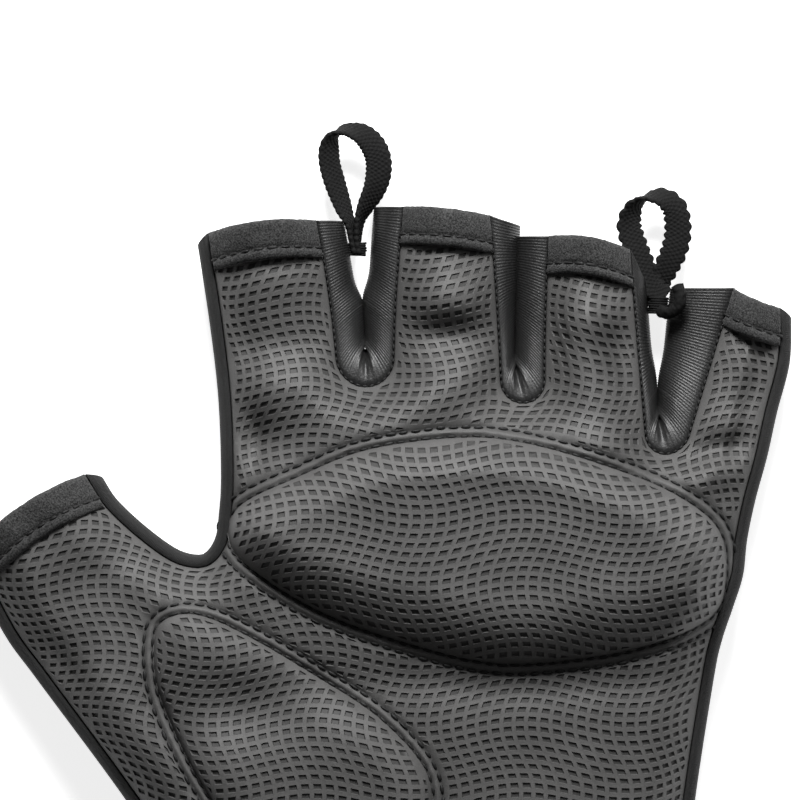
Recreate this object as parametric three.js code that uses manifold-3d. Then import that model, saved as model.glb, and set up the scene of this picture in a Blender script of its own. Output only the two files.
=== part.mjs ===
// A fingerless weightlifting glove for the left hand, lying on its back with the palm up.
// +X points to the little finger, +Y to the fingertips and +Z up, out of the palm.
// The origin is under the middle of the palm, on the plane that the glove rests on.
// Lengths are in millimetres.

import * as THREE from "three";
import { mergeVertices } from "three/addons/utils/BufferGeometryUtils.js";
import Module from "manifold-3d";

// Driving sizes of the hand
const HAND_WIDTH = 104; // across the roots of the four fingers
const PALM_LENGTH = 105; // from the cuff to the root of the middle finger
const FINGER_LENGTH = 35; // from the knuckle line to the middle finger's hem
const THUMB_LENGTH = 26; // from the thumb's root to its hem
const THUMB_WIDTH = 29;
const THUMB_SPLAY = 33.4; // degrees between the thumb and the fingers
const WRIST_WIDTH = 80;
const PALM_HEIGHT = 23; // floor to the crown of the palm, without its pad
const FINGER_HEIGHT = 18;
const THUMB_HEIGHT = 19;

// Walls and seams
const LEATHER = 1.4; // palm leather with its lining
const CLOTH = 1.5; // stretch cloth of the back
const KNIT = 1.1; // ribbed knit of the gussets
const SEAM_GAP = 0.3; // between two pieces that are sewn together
const SIDE_WRAP = 1.6; // how far the back cloth shows beside the palm leather
const FLOOR_INSET = 6; // from the outline to where the cloth lies on the floor
const FLOOR_LAP = 3; // flat lap that joins the side walls to the flat back
const EDGE_ROLL = 9; // width over which the palm leather falls to its seams
const SEAM_SHARE = 0.68; // height of the side seams, as a share of the crown
const CORNER_DROP = 2.4; // how far the side seams' corners lie behind the hems

// Hems, gussets and cuff
const HEM_LENGTH = 6.6;
const HEM_THICKNESS = 2.2;
const HEM_PROUD = 0.6; // above the leather beside it
const GUSSET_LIFT = 0.4; // between a gusset's back seam and the floor
const PINCH = 1.2; // width left between two fingers where their gusset closes
const MOUTH_WIDENING = 1.6; // power by which the space between two fingers grows
const CUFF_LENGTH = 20;
const CUFF_THICKNESS = 2;
const TAB_WIDTH = 15;
const TAB_LENGTH = 46;
const TAB_THICKNESS = 1.6;
const TAB_CORNER = 4;

// Pads
const PAD_SKIN = 0.9; // thickness left at a pad's sewn rim
const PAD_ROLL = 13; // width over which the palm pad swells from its rim
const PAD_RISE = 6;
const THENAR_ROLL = 9;
const THENAR_RISE = 3.2;

// Pull loops
const WEBBING_WIDTH = 4.5;
const WEBBING_THICKNESS = 1;
const LOOP_LENGTH = 16.5; // from the bar to the middle of the band at the top
const LOOP_WIDTH = 8.4; // between the middles of its two arms
const BAR_HALF = 0.8; // from the loop's middle line to the middle of its band
const BAR_LAP = 1; // how far the bar reaches along the band

// Fineness of the meshes
const GRID = 5;
const SIDE_STEP = 6;
const WEB_STEP = 3.6;
const SIDE_RINGS = 6;
const GUSSET_STEPS = 20;
const LOOP_STEPS = 30;
const CUFF_STEPS = 48;
const STEEPEST = 1.3; // most that a sloping sheet is thickened, measured upright
const RAISED = 20; // how far a sheet's top is raised while its outline is cut
const HEM_STATIONS = [0, 0.25, 0.5, 0.75, 1]; // shares of a hem's width

const KNUCKLE_SHARE = 0.419; // the knuckle line above the palm's middle
const WRIST_SHARE = -0.552; // the cuff's seam below it
const WRIST_MIDDLE_SHARE = -0.038; // the wrist's middle, off the palm's middle

// Side outlines seen from above. x is a share of HAND_WIDTH, y of PALM_LENGTH,
// and finger of FINGER_LENGTH, counted from y.
const INDEX_SIDE = [
  { x: -0.502, y: 0.144, finger: 0 },
  { x: -0.482, y: 0.153, finger: 0 },
  { x: -0.467, y: 0.178, finger: 0 },
  { x: -0.4615, y: 0.211, finger: 0 },
  { x: -0.4567, y: 0.286, finger: 0 },
  { x: -0.4615, y: 0.419, finger: 0.011 },
  { x: -0.477, y: 0.419, finger: 0.411 },
  { x: -0.498, y: 0.419, finger: 0.82 },
];
const LITTLE_SIDE = [
  { x: 0.552, y: 0.419, finger: 0.43 },
  { x: 0.549, y: 0.419, finger: 0.21 },
  { x: 0.526, y: 0.402, finger: 0 },
  { x: 0.508, y: 0.324, finger: 0 },
  { x: 0.487, y: 0.248, finger: 0 },
  { x: 0.472, y: 0.177, finger: 0 },
  { x: 0.4645, y: 0.114, finger: 0 },
  { x: 0.446, y: 0.056, finger: 0 },
  { x: 0.427, y: 0, finger: 0 },
  { x: 0.4125, y: -0.067, finger: 0 },
  { x: 0.378, y: -0.29, finger: 0 },
];

// The thumb's two sides in its own frame: along is a share of THUMB_LENGTH from
// its root, and across of THUMB_WIDTH from its middle, towards the index finger.
const THUMB_ROOT = { x: -0.653, y: -0.001 };
const THUMB_WEB = [
  { along: 1, across: 0.49 },
  { along: 0.82, across: 0.49 },
  { along: 0.54, across: 0.55 },
  { along: 0.28, across: 0.64 },
];
const THUMB_OUTER = [
  { along: 0.085, across: -0.535 },
  { along: 0.464, across: -0.55 },
  { along: 1, across: -0.5 },
];
const THENAR_SIDE = [
  { x: -0.565, y: -0.366 },
  { x: -0.672, y: -0.219 },
];

// Finger ends: the two ends of each hem above the knuckle line, and how far its
// middle stands ahead of them. All are shares of FINGER_LENGTH.
const FINGERS = [
  { left: 0.866, right: 0.963, bow: 0.028 },
  { left: 1.037, right: 0.989, bow: 0.011 },
  { left: 0.88, right: 0.805, bow: 0.029 },
  { left: 0.606, right: 0.49, bow: -0.014 },
];
const THUMB_BOW = 0.07; // the same for the thumb's hem, of THUMB_LENGTH

// Gussets between the fingers. x and y place the crotch and tipX the middle of
// the open end, root and tip are half widths between the seams and widening the
// power by which they grow. web is how far
// the folded web stands above the crotch, webX its middle, mouthX and mouth the
// middle and half width of the free space at the tip, and dip how far the left
// wall's free edge sags there. web and dip are shares of FINGER_LENGTH, y of
// PALM_LENGTH and the others of HAND_WIDTH.
const GUSSETS = [
  {
    name: "index_middle_gusset",
    x: -0.203,
    y: 0.448,
    tipX: -0.2135,
    root: 0.048,
    tip: 0.076,
    widening: 1.6,
    web: 0.2,
    webX: -0.205,
    mouthX: -0.216,
    mouth: 0.027,
    dip: 0,
  },
  {
    name: "middle_ring_gusset",
    x: 0.077,
    y: 0.419,
    tipX: 0.0707,
    root: 0.037,
    tip: 0.0505,
    widening: 1.6,
    web: 0.2,
    webX: 0.062,
    mouthX: 0.0675,
    mouth: 0.007,
    dip: 0.05,
  },
  {
    name: "ring_little_gusset",
    x: 0.33,
    y: 0.329,
    tipX: 0.3606,
    root: 0.031,
    tip: 0.091,
    widening: 1,
    web: 0.2,
    webX: 0.318,
    mouthX: 0.32,
    mouth: 0.022,
    dip: 0.17,
  },
];

// Crown of the palm side along the hand, as shares of PALM_HEIGHT, at shares of
// PALM_LENGTH from the palm's middle.
const CROWN = [
  { y: -0.552, height: 0.83 },
  { y: -0.3, height: 0.97 },
  { y: 0, height: 1 },
  { y: 0.28, height: 0.96 },
];

// Dents and swells of the palm leather. x and along are shares of HAND_WIDTH, y
// and across of PALM_LENGTH, and rise of PALM_HEIGHT; turn is in degrees.
const FOLDS = [
  { x: -0.34, y: 0.58, along: 0.13, across: 0.05, turn: 12, rise: -0.07 },
  { x: -0.4, y: 0.38, along: 0.09, across: 0.06, turn: -10, rise: -0.05 },
  { x: -0.05, y: 0.545, along: 0.1, across: 0.035, turn: 8, rise: -0.075 },
  { x: 0.005, y: 0.61, along: 0.05, across: 0.04, turn: 0, rise: 0.04 },
  { x: 0.235, y: 0.5, along: 0.05, across: 0.1, turn: -20, rise: -0.05 },
  { x: 0.43, y: 0.34, along: 0.12, across: 0.025, turn: 8, rise: -0.06 },
  { x: 0.45, y: 0.295, along: 0.08, across: 0.025, turn: 4, rise: 0.03 },
  { x: -0.63, y: 0.07, along: 0.05, across: 0.13, turn: -12, rise: -0.06 },
  { x: 0.05, y: -0.07, along: 0.35, across: 0.04, turn: 0, rise: -0.06 },
];

// Outlines of the two pads: x is a share of HAND_WIDTH and y of PALM_LENGTH.
const PALM_PAD = [
  { x: -0.445, y: 0.168 },
  { x: -0.43, y: 0.235 },
  { x: -0.321, y: 0.29 },
  { x: -0.2, y: 0.337 },
  { x: -0.04, y: 0.358 },
  { x: 0.076, y: 0.349 },
  { x: 0.221, y: 0.309 },
  { x: 0.348, y: 0.257 },
  { x: 0.424, y: 0.195 },
  { x: 0.438, y: 0.11 },
  { x: 0.41, y: 0.04 },
  { x: 0.284, y: -0.012 },
  { x: 0.128, y: -0.037 },
  { x: 0.006, y: -0.037 },
  { x: -0.137, y: -0.002 },
  { x: -0.273, y: 0.046 },
  { x: -0.383, y: 0.109 },
];
const THENAR_PAD = [
  { x: -0.575, y: 0.02 },
  { x: -0.54, y: 0.047 },
  { x: -0.485, y: 0.044 },
  { x: -0.4, y: 0.005 },
  { x: -0.29, y: -0.06 },
  { x: -0.17, y: -0.14 },
  { x: -0.09, y: -0.24 },
  { x: -0.1, y: -0.35 },
  { x: -0.19, y: -0.43 },
  { x: -0.31, y: -0.43 },
  { x: -0.42, y: -0.35 },
  { x: -0.5, y: -0.24 },
  { x: -0.56, y: -0.12 },
  { x: -0.578, y: -0.05 },
];

// Pull loops: gusset is the gusset that carries one, seat how far its sewn bar
// starts behind the gusset's open end and bar the bar's length, both shares of
// FINGER_LENGTH. lean, arms and top are degrees: the lean in plan, and how far the
// band turns its face up along its arms and at its top.
const LOOPS = [
  {
    name: "index_middle_pull_loop",
    gusset: "index_middle_gusset",
    seat: 0.177,
    bar: 0.188,
    lean: 3,
    arms: 42,
    top: 24,
  },
  {
    name: "ring_little_pull_loop",
    gusset: "ring_little_gusset",
    seat: 0.126,
    bar: 0.148,
    lean: 0,
    arms: 42,
    top: 28,
  },
];

const COLOURS = {
  leather: { color: 0x4f4f50, roughness: 0.55, metalness: 0 },
  cloth: { color: 0x1d1d1e, roughness: 0.95, metalness: 0 },
  hem: { color: 0x262526, roughness: 1, metalness: 0 },
  knit: { color: 0x1b1b1c, roughness: 0.8, metalness: 0 },
  webbing: { color: 0x151515, roughness: 0.85, metalness: 0 },
};

const wasm = await Module();
wasm.setup();

const UP = new THREE.Vector3(0, 0, 1);
const radians = THREE.MathUtils.degToRad;
const lerp = THREE.MathUtils.lerp;
const clamp = THREE.MathUtils.clamp;

const KNUCKLE_Y = KNUCKLE_SHARE * PALM_LENGTH;
const WRIST_Y = WRIST_SHARE * PALM_LENGTH;
const WRIST_X = WRIST_MIDDLE_SHARE * HAND_WIDTH;

// A point of a table whose rows are shares of the hand's sizes.
function onHand({ x, y, finger = 0 }) {
  return new THREE.Vector2(x * HAND_WIDTH, y * PALM_LENGTH + finger * FINGER_LENGTH);
}

const thumbRoot = onHand(THUMB_ROOT);
const thumbAxis = new THREE.Vector2(-Math.sin(radians(THUMB_SPLAY)), Math.cos(radians(THUMB_SPLAY)));
const thumbSide = new THREE.Vector2(thumbAxis.y, -thumbAxis.x);

// A point in the thumb's own frame.
function onThumb({ along, across }) {
  return thumbRoot
    .clone()
    .addScaledVector(thumbAxis, along * THUMB_LENGTH)
    .addScaledVector(thumbSide, across * THUMB_WIDTH);
}

// Evenly spaced points on a smooth curve through some points.
function smoothLine(points, step) {
  const curve = new THREE.SplineCurve(points);
  return curve.getSpacedPoints(Math.round(curve.getLength() / step));
}

// A line moved sideways by a distance, to the right of its direction.
function toTheRight(line, distance) {
  return line.map((point, i) => {
    const before = line[Math.max(i - 1, 0)];
    const after = line[Math.min(i + 1, line.length - 1)];
    const along = after.clone().sub(before).normalize();
    return new THREE.Vector2(point.x + along.y * distance, point.y - along.x * distance);
  });
}

// The outlines go round the glove clockwise, so that its inside is on their right.
const wristLeft = new THREE.Vector2(WRIST_X - WRIST_WIDTH / 2, WRIST_Y);
const wristRight = new THREE.Vector2(WRIST_X + WRIST_WIDTH / 2, WRIST_Y);
const thumbOutline = smoothLine(
  [wristLeft, ...THENAR_SIDE.map(onHand), ...THUMB_OUTER.map(onThumb)],
  SIDE_STEP,
);
const webOutline = smoothLine([...THUMB_WEB.map(onThumb), ...INDEX_SIDE.map(onHand)], WEB_STEP);
const littleOutline = smoothLine([...LITTLE_SIDE.map(onHand), wristRight], SIDE_STEP);

// Draws the end of a line on, or back, along its own direction: to the wrist's
// line, or ahead by CORNER_DROP.
function finishEnd(line, end, next) {
  const away = line[end].clone().sub(line[next]).normalize();
  const atWrist = Math.abs(line[end].y - WRIST_Y) < FLOOR_INSET;
  line[end].addScaledVector(away, atWrist ? (WRIST_Y - line[end].y) / away.y : CORNER_DROP);
}

// The three guide lines of a side wall: its palm seam, its outline and the line
// where it meets the floor.
function sideGuides(outline) {
  const seam = toTheRight(outline, SIDE_WRAP);
  const floor = toTheRight(outline, FLOOR_INSET);
  for (const line of [seam, floor]) {
    finishEnd(line, 0, 1);
    finishEnd(line, line.length - 1, line.length - 2);
  }
  return { seam, outline, floor };
}

const thumbWall = sideGuides(thumbOutline);
const webWall = sideGuides(webOutline);
const littleWall = sideGuides(littleOutline);

// One side of a gusset's U, from its bottom to its tip: a quarter circle first,
// and then a line that widens towards the tip.
function uLine({ bottom, tip, root, mouth, widening, side }) {
  const points = [];
  for (let i = 0; i <= GUSSET_STEPS / 2; i++) {
    const share = (i / (GUSSET_STEPS / 2)) ** 1.5;
    const along = share * (tip.y - bottom.y);
    const round = Math.min(along / root, 1);
    const half = root * Math.sqrt(1 - (1 - round) ** 2) + (mouth - root) * share ** widening;
    points.push(new THREE.Vector2(lerp(bottom.x, tip.x, share) + side * half, bottom.y + along));
  }
  return points;
}

// The guide lines of a gusset, from the hem on its left, round the crotch and up
// to the hem on its right.
function gussetGuides(row, index) {
  const guide = ({ bottom, tipX, root, mouth, widening, dip = 0 }) => {
    const [left, right] = [FINGERS[index].right - dip, FINGERS[index + 1].left].map((share, i) => {
      const tip = new THREE.Vector2(tipX, KNUCKLE_Y + share * FINGER_LENGTH);
      return uLine({ bottom, tip, root, mouth, widening, side: i === 0 ? -1 : 1 });
    });
    return [...left.reverse(), ...right.slice(1)];
  };
  const crotch = onHand(row);
  const web = onHand({ x: row.webX, y: row.y, finger: row.web });
  const wide = (share) => share * HAND_WIDTH;
  const seam = guide({
    bottom: crotch,
    tipX: wide(row.tipX),
    root: wide(row.root),
    mouth: wide(row.tip),
    widening: row.widening,
  });
  const outline = guide({
    bottom: web,
    tipX: wide(row.mouthX),
    root: PINCH / 2,
    mouth: Math.max(wide(row.mouth), PINCH / 2),
    widening: MOUTH_WIDENING,
    dip: row.dip,
  });
  return { seam, outline, floor: seam };
}

const gussetWalls = GUSSETS.map(gussetGuides);
const walls = [thumbWall, webWall, gussetWalls[0], gussetWalls[1], gussetWalls[2], littleWall];

// The shortest way from a point to a line: positive on the line's right side.
function distanceToLine(x, y, line) {
  let [best, side] = [Infinity, 1];
  for (let i = 1; i < line.length; i++) {
    const [a, b] = [line[i - 1], line[i]];
    const [dx, dy] = [b.x - a.x, b.y - a.y];
    const t = clamp(((x - a.x) * dx + (y - a.y) * dy) / (dx * dx + dy * dy || 1), 0, 1);
    const distance = Math.hypot(x - a.x - t * dx, y - a.y - t * dy);
    if (distance < best) {
      best = distance;
      side = Math.sign((y - a.y) * dx - (x - a.x) * dy) > 0 ? -1 : 1;
    }
  }
  return best * side;
}

// The distance to the nearest of several lines, with its sign.
function nearest(x, y, lines) {
  return lines
    .map((line) => distanceToLine(x, y, line))
    .reduce((a, b) => (Math.abs(b) < Math.abs(a) ? b : a));
}

// A height that eases through the rows of a table.
function eased(rows, key, at) {
  const last = rows.length - 1;
  if (at <= rows[0].y) return rows[0][key];
  if (at >= rows[last].y) return rows[last][key];
  const i = rows.findIndex((row) => row.y >= at);
  const t = (at - rows[i - 1].y) / (rows[i].y - rows[i - 1].y);
  return lerp(rows[i - 1][key], rows[i][key], t * t * (3 - 2 * t));
}

// The crown of the palm side over a point: palm, fingers and thumb ease into
// each other.
function crownAt(x, y) {
  const palm = eased(CROWN, "height", y / PALM_LENGTH) * PALM_HEIGHT;
  const toFingers = THREE.MathUtils.smoothstep(y, 0.28 * PALM_LENGTH, KNUCKLE_Y + 0.4 * FINGER_LENGTH);
  const along = (x - thumbRoot.x) * thumbAxis.x + (y - thumbRoot.y) * thumbAxis.y;
  const across = (x - thumbRoot.x) * thumbSide.x + (y - thumbRoot.y) * thumbSide.y;
  const beside = 1 - THREE.MathUtils.smoothstep(across, 0.5 * THUMB_WIDTH, THUMB_WIDTH);
  const toThumb = THREE.MathUtils.smoothstep(along, -0.8 * THUMB_LENGTH, 0.4 * THUMB_LENGTH) * beside;
  return lerp(lerp(palm, FINGER_HEIGHT, toFingers), THUMB_HEIGHT, toThumb);
}

// How much the folds raise or lower the leather at a point.
function foldsAt(x, y) {
  return FOLDS.reduce((sum, fold) => {
    const turn = radians(fold.turn);
    const [dx, dy] = [x - fold.x * HAND_WIDTH, y - fold.y * PALM_LENGTH];
    const along = (dx * Math.cos(turn) + dy * Math.sin(turn)) / (fold.along * HAND_WIDTH);
    const across = (dy * Math.cos(turn) - dx * Math.sin(turn)) / (fold.across * PALM_LENGTH);
    return sum + fold.rise * PALM_HEIGHT * Math.exp(-along * along - across * across);
  }, 0);
}

const seamLines = walls.map((wall) => wall.seam);

// Outside of the palm leather: low at the seams and full in the middle.
function palmTop(x, y) {
  const fromSeam = nearest(x, y, seamLines);
  const roll = Math.sin((Math.PI / 2) * clamp(fromSeam / EDGE_ROLL, -1, 1));
  return crownAt(x, y) * lerp(SEAM_SHARE, 1, roll) + foldsAt(x, y) * Math.max(roll, 0);
}

// A closed sheet of even thickness below the surface point(u, v). With loop, the
// sheet closes on itself along u.
function thickSheet(point, across, along, wall, loop = false) {
  const reach = 1e-3;
  const columns = loop ? across : across + 1;
  const outer = [];
  const inner = [];
  for (let j = 0; j <= along; j++) {
    for (let i = 0; i < columns; i++) {
      const [u, v] = [i / across, j / along];
      const overU = point(loop ? (u + reach) % 1 : Math.min(u + reach, 1), v);
      const underU = point(loop ? (u - reach + 1) % 1 : Math.max(u - reach, 0), v);
      const overV = point(u, Math.min(v + reach, 1));
      const underV = point(u, Math.max(v - reach, 0));
      const normal = overU.sub(underU).cross(overV.sub(underV)).normalize();
      const here = point(u, v);
      outer.push(here);
      inner.push(here.clone().addScaledVector(normal, -wall));
    }
  }
  const count = outer.length;
  const at = (i, j) => j * columns + (i % columns);
  const faces = [];
  const quad = (a, b, c, d) => faces.push(a, b, c, a, c, d);
  for (let j = 0; j < along; j++) {
    for (let i = 0; i < across; i++) {
      const [a, b, c, d] = [at(i, j), at(i + 1, j), at(i + 1, j + 1), at(i, j + 1)];
      quad(a, b, c, d);
      quad(c + count, b + count, a + count, d + count);
    }
  }
  for (let i = 0; i < across; i++) {
    quad(at(i, 0) + count, at(i + 1, 0) + count, at(i + 1, 0), at(i, 0));
    quad(at(i, along), at(i + 1, along), at(i + 1, along) + count, at(i, along) + count);
  }
  for (let j = 0; j < along && !loop; j++) {
    quad(at(0, j), at(0, j + 1), at(0, j + 1) + count, at(0, j) + count);
    quad(at(across, j) + count, at(across, j + 1) + count, at(across, j + 1), at(across, j));
  }
  const geometry = new THREE.BufferGeometry().setFromPoints([...outer, ...inner]);
  geometry.setIndex(faces);
  return geometry;
}

// A geometry as a solid that can be cut and joined, and back.
function toSolid(geometry) {
  const bare = geometry.clone();
  bare.deleteAttribute("normal");
  bare.deleteAttribute("uv");
  const merged = mergeVertices(bare, 1e-4);
  const mesh = new wasm.Mesh({
    numProp: 3,
    vertProperties: merged.attributes.position.array,
    triVerts: new Uint32Array(merged.index.array),
  });
  return new wasm.Manifold(mesh);
}

function toGeometry(solid) {
  const { vertProperties, triVerts } = solid.getMesh();
  const geometry = new THREE.BufferGeometry();
  geometry.setAttribute("position", new THREE.BufferAttribute(vertProperties, 3));
  geometry.setIndex(new THREE.BufferAttribute(triVerts, 1));
  return geometry;
}

// An upright block over a closed outline.
function block(outline, low, high) {
  const geometry = new THREE.ExtrudeGeometry(new THREE.Shape(outline), {
    depth: high - low,
    bevelEnabled: false,
  });
  return toSolid(geometry.translate(0, 0, low));
}

// How far a sheet of some thickness reaches down where its top slopes.
function wallBelow(top, x, y, wall) {
  const slopeX = top(x + 0.5, y) - top(x - 0.5, y);
  const slopeY = top(x, y + 0.5) - top(x, y - 0.5);
  return wall * Math.min(Math.hypot(1, slopeX, slopeY), STEEPEST);
}

// The solid between low(x, y) and high(x, y) inside an outline, less some spaces.
// It is cut with its top raised, and then each corner goes to its own height.
// With keepLow, the underside keeps the flat facets between the grid's corners.
function sheetInside({ outline, low, high, spaces = [], keepLow = false }) {
  const box = new THREE.Box2().setFromPoints(outline);
  const from = box.min.divideScalar(GRID).floor().multiplyScalar(GRID);
  const to = box.max.divideScalar(GRID).ceil().multiplyScalar(GRID);
  const [across, along] = [(to.x - from.x) / GRID, (to.y - from.y) / GRID].map(Math.round);
  const point = (u, v) => new THREE.Vector3(lerp(from.x, to.x, u), lerp(from.y, to.y, v), 0);
  const slab = thickSheet(point, across, along, 1);
  const corners = slab.getAttribute("position");
  for (let i = 0; i < corners.count; i++) {
    const [x, y] = [corners.getX(i), corners.getY(i)];
    corners.setZ(i, i < corners.count / 2 ? high(x, y) + RAISED : low(x, y));
  }
  const cut = toSolid(slab).intersect(block(outline, -RAISED, 3 * RAISED));
  const geometry = toGeometry(spaces.reduce((rest, space) => rest.subtract(space), cut));
  const position = geometry.getAttribute("position");
  for (let i = 0; i < position.count; i++) {
    const [x, y, z] = [position.getX(i), position.getY(i), position.getZ(i)];
    if (z > (low(x, y) + high(x, y) + RAISED) / 2) position.setZ(i, high(x, y));
    else if (!keepLow) position.setZ(i, low(x, y));
  }
  return geometry;
}

// The wall between three guide lines, at a share of its length and of the way
// from the palm seam to the floor. It bulges out to the middle guide.
function wallPoint(wall, u, v, lift = 0) {
  const place = u * (wall.seam.length - 1);
  const i = Math.min(Math.floor(place), wall.seam.length - 2);
  const on = (line) => line[i].clone().lerp(line[i + 1], place - i);
  const [seam, outline, floor] = [on(wall.seam), on(wall.outline), on(wall.floor)];
  const drop = (1 - Math.cos(Math.PI * v)) / 2;
  const bulge = outline.sub(seam.clone().add(floor).multiplyScalar(0.5));
  const plan = seam.clone().lerp(floor, drop).addScaledVector(bulge, Math.sin(Math.PI * v));
  return new THREE.Vector3(plan.x, plan.y, lerp(SEAM_SHARE * crownAt(seam.x, seam.y), lift, drop));
}

// A side wall with a flat lap along the floor at its lower edge.
function sideWall(wall) {
  const lap = toTheRight(wall.floor, FLOOR_LAP);
  const bend = SIDE_RINGS / (SIDE_RINGS + 1);
  const point = (u, v) => {
    if (v <= bend) return wallPoint(wall, u, v / bend);
    const place = u * (lap.length - 1);
    const i = Math.min(Math.floor(place), lap.length - 2);
    const from = wallPoint(wall, u, 1);
    const to = lap[i].clone().lerp(lap[i + 1], place - i);
    return from.lerp(new THREE.Vector3(to.x, to.y, 0), (v - bend) / (1 - bend));
  };
  return toSolid(thickSheet(point, wall.seam.length - 1, SIDE_RINGS + 1, CLOTH));
}

// The point that lies a length along a line.
function pointAlong(line, length) {
  let left = length;
  for (let i = 1; i < line.length; i++) {
    const step = line[i].distanceTo(line[i - 1]);
    if (step > left) return line[i - 1].clone().lerp(line[i], left / step);
    left -= step;
  }
  return line[line.length - 1].clone();
}

// The edges of a hem between the seams on the two sides of a finger, from left to
// right. Both seams are lines that start at the finger's tip.
function hemEdges(leftSeam, rightSeam, bow) {
  const low = [leftSeam, rightSeam].map((line) => pointAlong(line, HEM_LENGTH));
  const tip = [leftSeam[0], rightSeam[0]];
  const away = tip[0].clone().sub(low[0]).add(tip[1]).sub(low[1]).normalize();
  const arched = ([start, end]) => {
    const inset = SEAM_GAP / start.distanceTo(end);
    return HEM_STATIONS.map((share) =>
      start
        .clone()
        .lerp(end, lerp(inset, 1 - inset, share))
        .addScaledVector(away, 4 * bow * share * (1 - share)),
    );
  };
  return { low: arched(low), tip: arched(tip), away };
}

const fromTip = (line) => [...line].reverse();
const hemSeams = [
  fromTip(webWall.seam),
  ...gussetWalls.flatMap((wall) => [wall.seam, fromTip(wall.seam)]),
  littleWall.seam,
];
const hems = {
  thumb_hem: hemEdges(fromTip(thumbWall.seam), webWall.seam, THUMB_BOW * THUMB_LENGTH),
};
["index_hem", "middle_hem", "ring_hem", "little_hem"].forEach((name, i) => {
  hems[name] = hemEdges(hemSeams[2 * i], hemSeams[2 * i + 1], FINGERS[i].bow * FINGER_LENGTH);
});

// The space that the palm leather leaves free for a hem.
function hemSpace({ low, away }) {
  const aside = new THREE.Vector2(away.y, -away.x).multiplyScalar(HEM_LENGTH);
  const edge = low.map((point) => point.clone().addScaledVector(away, -SEAM_GAP));
  edge.unshift(edge[0].clone().sub(aside));
  edge.push(edge[edge.length - 1].clone().add(aside));
  const far = [edge[edge.length - 1], edge[0]].map((point) =>
    point.clone().addScaledVector(away, 3 * HEM_LENGTH),
  );
  return block([...edge, ...far], -RAISED, 3 * RAISED);
}

// The outline of the palm leather, inside all the seams.
function palmOutline() {
  return walls.flatMap((wall) => toTheRight(wall.seam, SEAM_GAP));
}

// The outline of the flat cloth under the hand. Along the side walls it takes in
// their laps, and along the gussets it keeps the seam's gap.
function backOutline() {
  const lapped = (wall) => toTheRight(wall.floor, FLOOR_LAP / 2);
  return [
    ...lapped(thumbWall),
    ...lapped(webWall),
    ...gussetWalls.flatMap((wall) => toTheRight(wall.floor, SEAM_GAP)),
    ...lapped(littleWall),
  ];
}

function palmPanel() {
  return sheetInside({
    outline: palmOutline(),
    low: (x, y) => palmTop(x, y) - wallBelow(palmTop, x, y, LEATHER),
    high: palmTop,
    spaces: Object.values(hems).map(hemSpace),
  });
}

function backPanel() {
  const flat = block(backOutline(), 0, CLOTH);
  return toGeometry([thumbWall, webWall, littleWall].reduce((sum, wall) => sum.add(sideWall(wall)), flat));
}

function gusset(wall) {
  const point = (u, v) => wallPoint(wall, u, v, GUSSET_LIFT);
  return thickSheet(point, wall.seam.length - 1, SIDE_RINGS, KNIT);
}

// A folded hem over a finger's end, a little prouder than the leather.
function hem({ low, tip }) {
  const top = (x, y) => palmTop(x, y) + HEM_PROUD;
  return sheetInside({
    outline: [...low, ...fromTip(tip)],
    low: (x, y) => top(x, y) - wallBelow(palmTop, x, y, HEM_THICKNESS),
    high: top,
  });
}

// A pad sewn onto the palm: a dome over an outline, on top of the leather.
function pad(rows, rise, roll) {
  const curve = new THREE.SplineCurve([...rows, rows[0]].map(onHand));
  const rim = curve.getSpacedPoints(Math.round(curve.getLength() / GRID));
  const swell = (x, y) => {
    const fromRim = Math.min(Math.abs(distanceToLine(x, y, rim)) / roll, 1);
    return PAD_SKIN + rise * Math.sin((Math.PI / 2) * fromRim);
  };
  return sheetInside({
    outline: rim.slice(0, -1),
    low: (x, y) => palmTop(x, y) + wallBelow(palmTop, x, y, SEAM_GAP),
    high: (x, y) => palmTop(x, y) + SEAM_GAP + swell(x, y),
    keepLow: true,
  });
}

// The wrist's section, clockwise from the left seam: over the palm, down the
// little finger's side, back along the floor and up the thumb's side.
function wristSection(u, floor) {
  const quarter = Math.min(Math.floor(u * 4), 3);
  const t = u * 4 - quarter;
  const left = new THREE.Vector2(wristLeft.x + SIDE_WRAP, WRIST_Y);
  const right = new THREE.Vector2(wristRight.x - SIDE_WRAP, WRIST_Y);
  const crown = crownAt(WRIST_X, WRIST_Y);
  const bulge = (t2) => FLOOR_INSET * ((1 - Math.cos(Math.PI * t2)) / 2);
  const belly = (t2) => ((SIDE_WRAP + FLOOR_INSET) / 2) * Math.sin(Math.PI * t2);
  const height = (t2) => lerp(SEAM_SHARE * crown, floor, (1 - Math.cos(Math.PI * t2)) / 2);
  if (quarter === 0) {
    const x = lerp(left.x, right.x, t);
    const roll = Math.sin((Math.PI / 2) * Math.min(Math.min(x - left.x, right.x - x) / EDGE_ROLL, 1));
    return new THREE.Vector2(x, crown * lerp(SEAM_SHARE, 1, roll));
  }
  if (quarter === 1) return new THREE.Vector2(right.x - bulge(t) + belly(t), height(t));
  if (quarter === 2) {
    return new THREE.Vector2(lerp(right.x - FLOOR_INSET, left.x + FLOOR_INSET, t), floor);
  }
  return new THREE.Vector2(left.x + bulge(1 - t) - belly(1 - t), height(1 - t));
}

function cuff() {
  const floor = TAB_THICKNESS + SEAM_GAP;
  const point = (u, v) => {
    const section = wristSection(u, floor);
    const y = WRIST_Y - SEAM_GAP - CUFF_LENGTH * (1 - v);
    return new THREE.Vector3(section.x, y, section.y);
  };
  return thickSheet(point, CUFF_STEPS, 3, CUFF_THICKNESS, true);
}

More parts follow.
